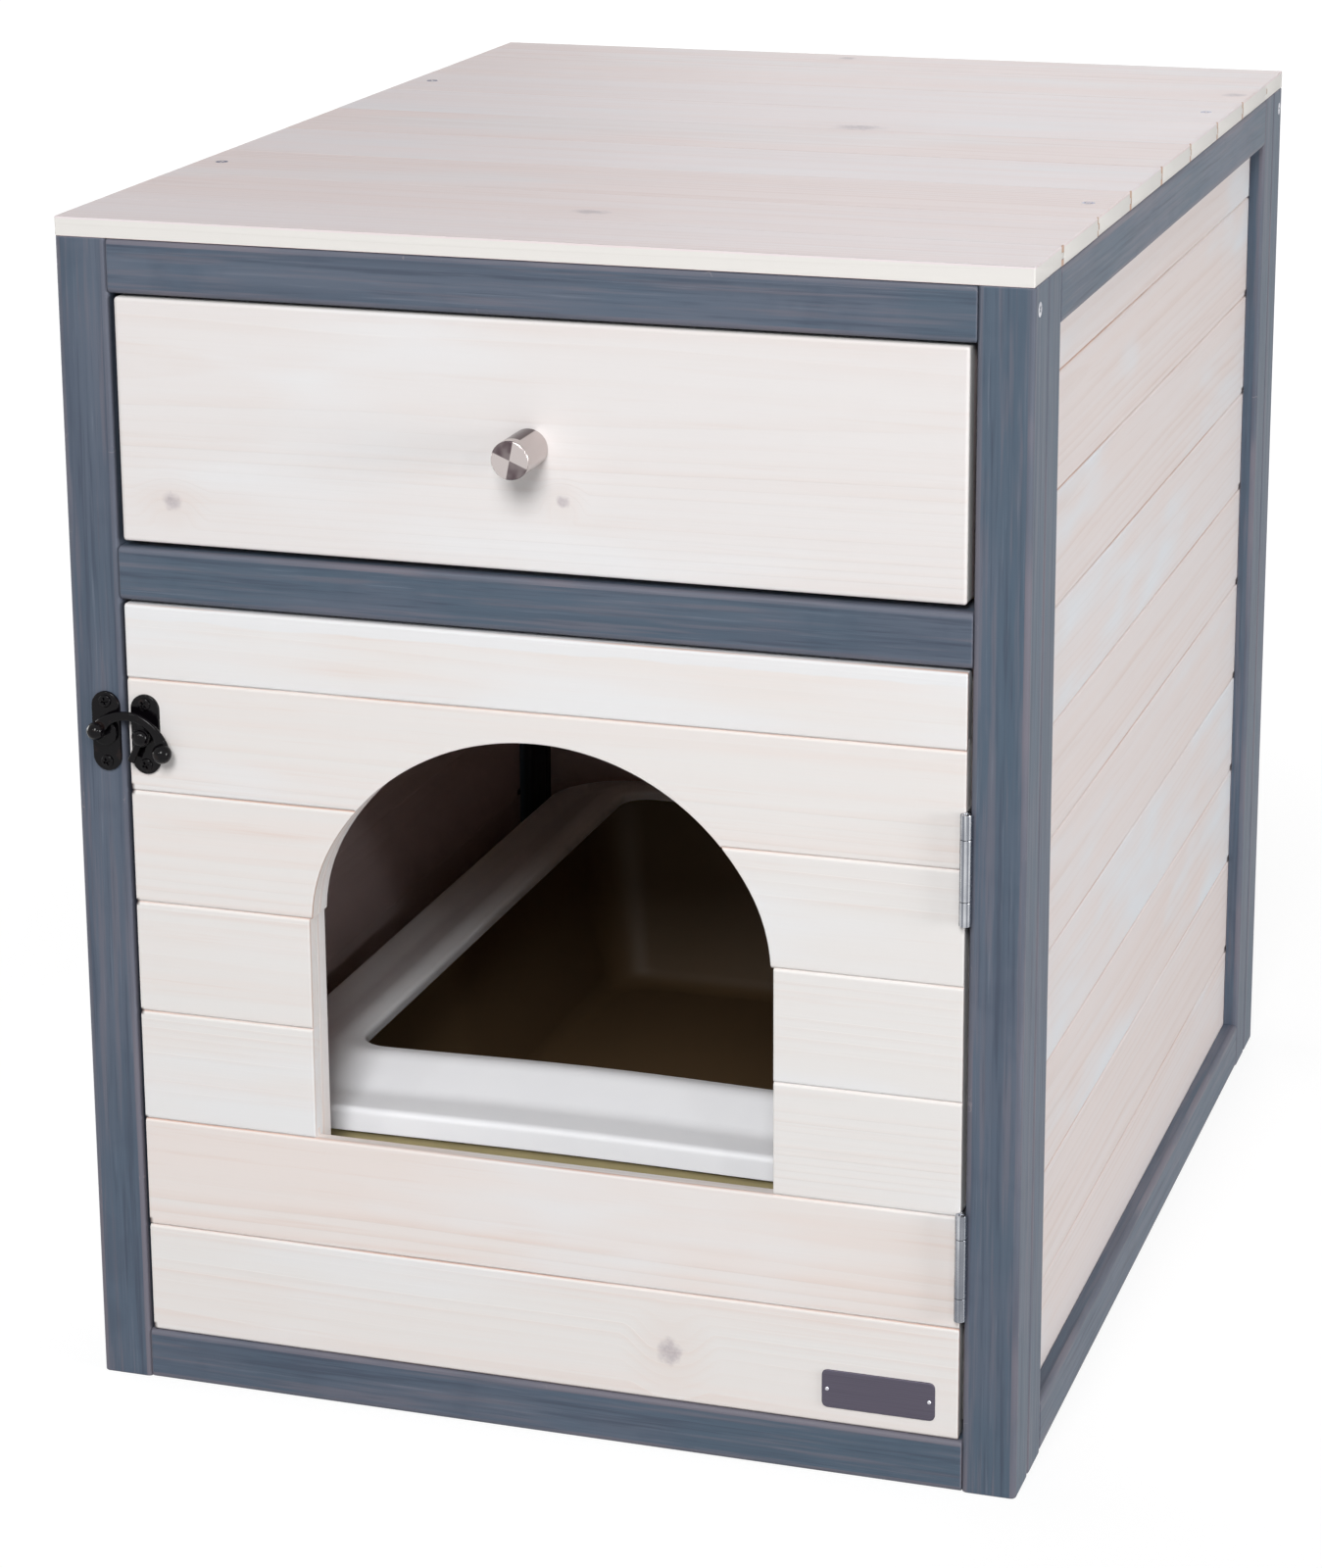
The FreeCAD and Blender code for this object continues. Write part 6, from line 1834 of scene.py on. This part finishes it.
# %% Rim
RIM_BOW = 7.5
BOW_REACH = 120
BOW_HALF = 150
BOW_SHARE = (0.15, 1)
CROWN_FALL = 1.4
SKIRT_TUCK = 0.8
ledge_level = rim_low[2] + RIM["skirt"]
slope_foot = RIM["lean"] + RIM["ledge"]
slope_top = slope_foot + RIM["slope"]
opening = slope_top + RIM["crown"]
foot_level = ledge_level + RIM["step"]
crown_level = foot_level + RIM["rise"]
wall = RIM["wall"]


def rim_corner(inset):
    """The corner radius falls evenly from the skirt's foot to the opening."""
    return np.interp(inset, [0, RIM["lean"], opening],
                     [RIM["corner"], RIM["corner"] - RIM["lean"], RIM["mouth"]])


rim_section = [(SKIRT_TUCK, rim_low[2] + SKIRT_TUCK), (RIM["lean"], ledge_level),
               (slope_foot, foot_level), (slope_top, crown_level),
               (opening, crown_level - CROWN_FALL), (opening, crown_level - RIM["lip"]),
               (opening - wall, crown_level - RIM["lip"]), (opening - wall, crown_level - wall),
               (slope_top, crown_level - wall), (slope_foot, foot_level - wall),
               (RIM["lean"] + wall, ledge_level - wall), (wall, rim_low[2])]
rim_round = [0.4, 2.8, 4.0, 4.5, 2.2, 0.7, 0.7, 0.5, 2, 2, 1.2, 0.4]
profile, _ = rounded(rim_section, rim_round, 4, 0.5)
rings = nested(profile, rim_corner)
front = np.clip((rim_low[1] + BOW_REACH - rings[..., 1]) / BOW_REACH, 0, 1) ** 2
across = np.cos(np.clip(rings[..., 0] / BOW_HALF, -1, 1) * math.pi / 2) ** 2
inner = np.interp(profile[:, 0], [RIM["lean"], opening], BOW_SHARE)[:, None]
rings[..., 2] += RIM_BOW * front * across * inner
shells = Shells()
shells.add(rings, closed=True)
piece("litter_pan_rim", shells, ["litter_pan_rim"], WHITE_RIM, 50)

# %% [markdown]
# ## The pan
# The pan's wall leans out to its mouth, where a flange turns down. Its section is open: it starts
# with a ring under the base and ends with one on the floor inside, and a flat cap closes each.
# The points of the inner wall are marked, so that the finish can paint shade on them.

# %% Pan
PAN = {"wall": 2.5, "draft": 32, "flange": 4.2, "thick": 2.5, "base": 22, "lip": 17}
FLOOR_RING = {"inset": 30, "corner": 8}
flange_inset = pan_low[0] - rim_low[0]
pan_inset = flange_inset + PAN["flange"]
mouth = RIM["corner"] - pan_inset
base_inset = pan_inset + PAN["draft"]
slope = PAN["draft"] / (pan_high[2] - pan_low[2])
floor_level = pan_low[2] + PAN["wall"]
inner_foot = base_inset + PAN["wall"] - slope * PAN["wall"]
pan_section = [(base_inset + FLOOR_RING["inset"], pan_low[2]), (base_inset, pan_low[2]),
               (pan_inset + slope * PAN["thick"], pan_high[2] - PAN["thick"]),
               (flange_inset + PAN["thick"], pan_high[2] - PAN["thick"]),
               (flange_inset + PAN["thick"], pan_high[2] - PAN["lip"]),
               (flange_inset, pan_high[2] - PAN["lip"]), (flange_inset, pan_high[2]),
               (pan_inset + PAN["wall"], pan_high[2]), (inner_foot, floor_level),
               (inner_foot + FLOOR_RING["inset"], floor_level)]
pan_round = [0, 7, 0.6, 0.4, 0.6, 0.6, 0.8, 1.0, 9, 0]
profile, _ = rounded(pan_section, pan_round, 4, 0.3)


def pan_corner(inset):
    """The corner radius falls evenly from the flange to the mouth, the base and its middle."""
    return np.interp(inset, [flange_inset, pan_inset, base_inset, base_inset + FLOOR_RING["inset"]],
                     [mouth + PAN["flange"], mouth, PAN["base"], FLOOR_RING["corner"]])


shells = Shells()
# marks the pan's inner wall for painted shade
used = np.interp(profile[:, 0] - pan_inset, [PAN["wall"] * 0.8, PAN["wall"] * 1.2], [0, 1])
pan_inner_shade = np.where(np.arange(len(profile)) > np.argmin(profile[:, 0]), used, 0)
shells.add(nested(profile, pan_corner), edge=pan_inner_shade[:, None])
piece("litter_pan", shells, ["litter_pan"], OLIVE_PAN, 50)
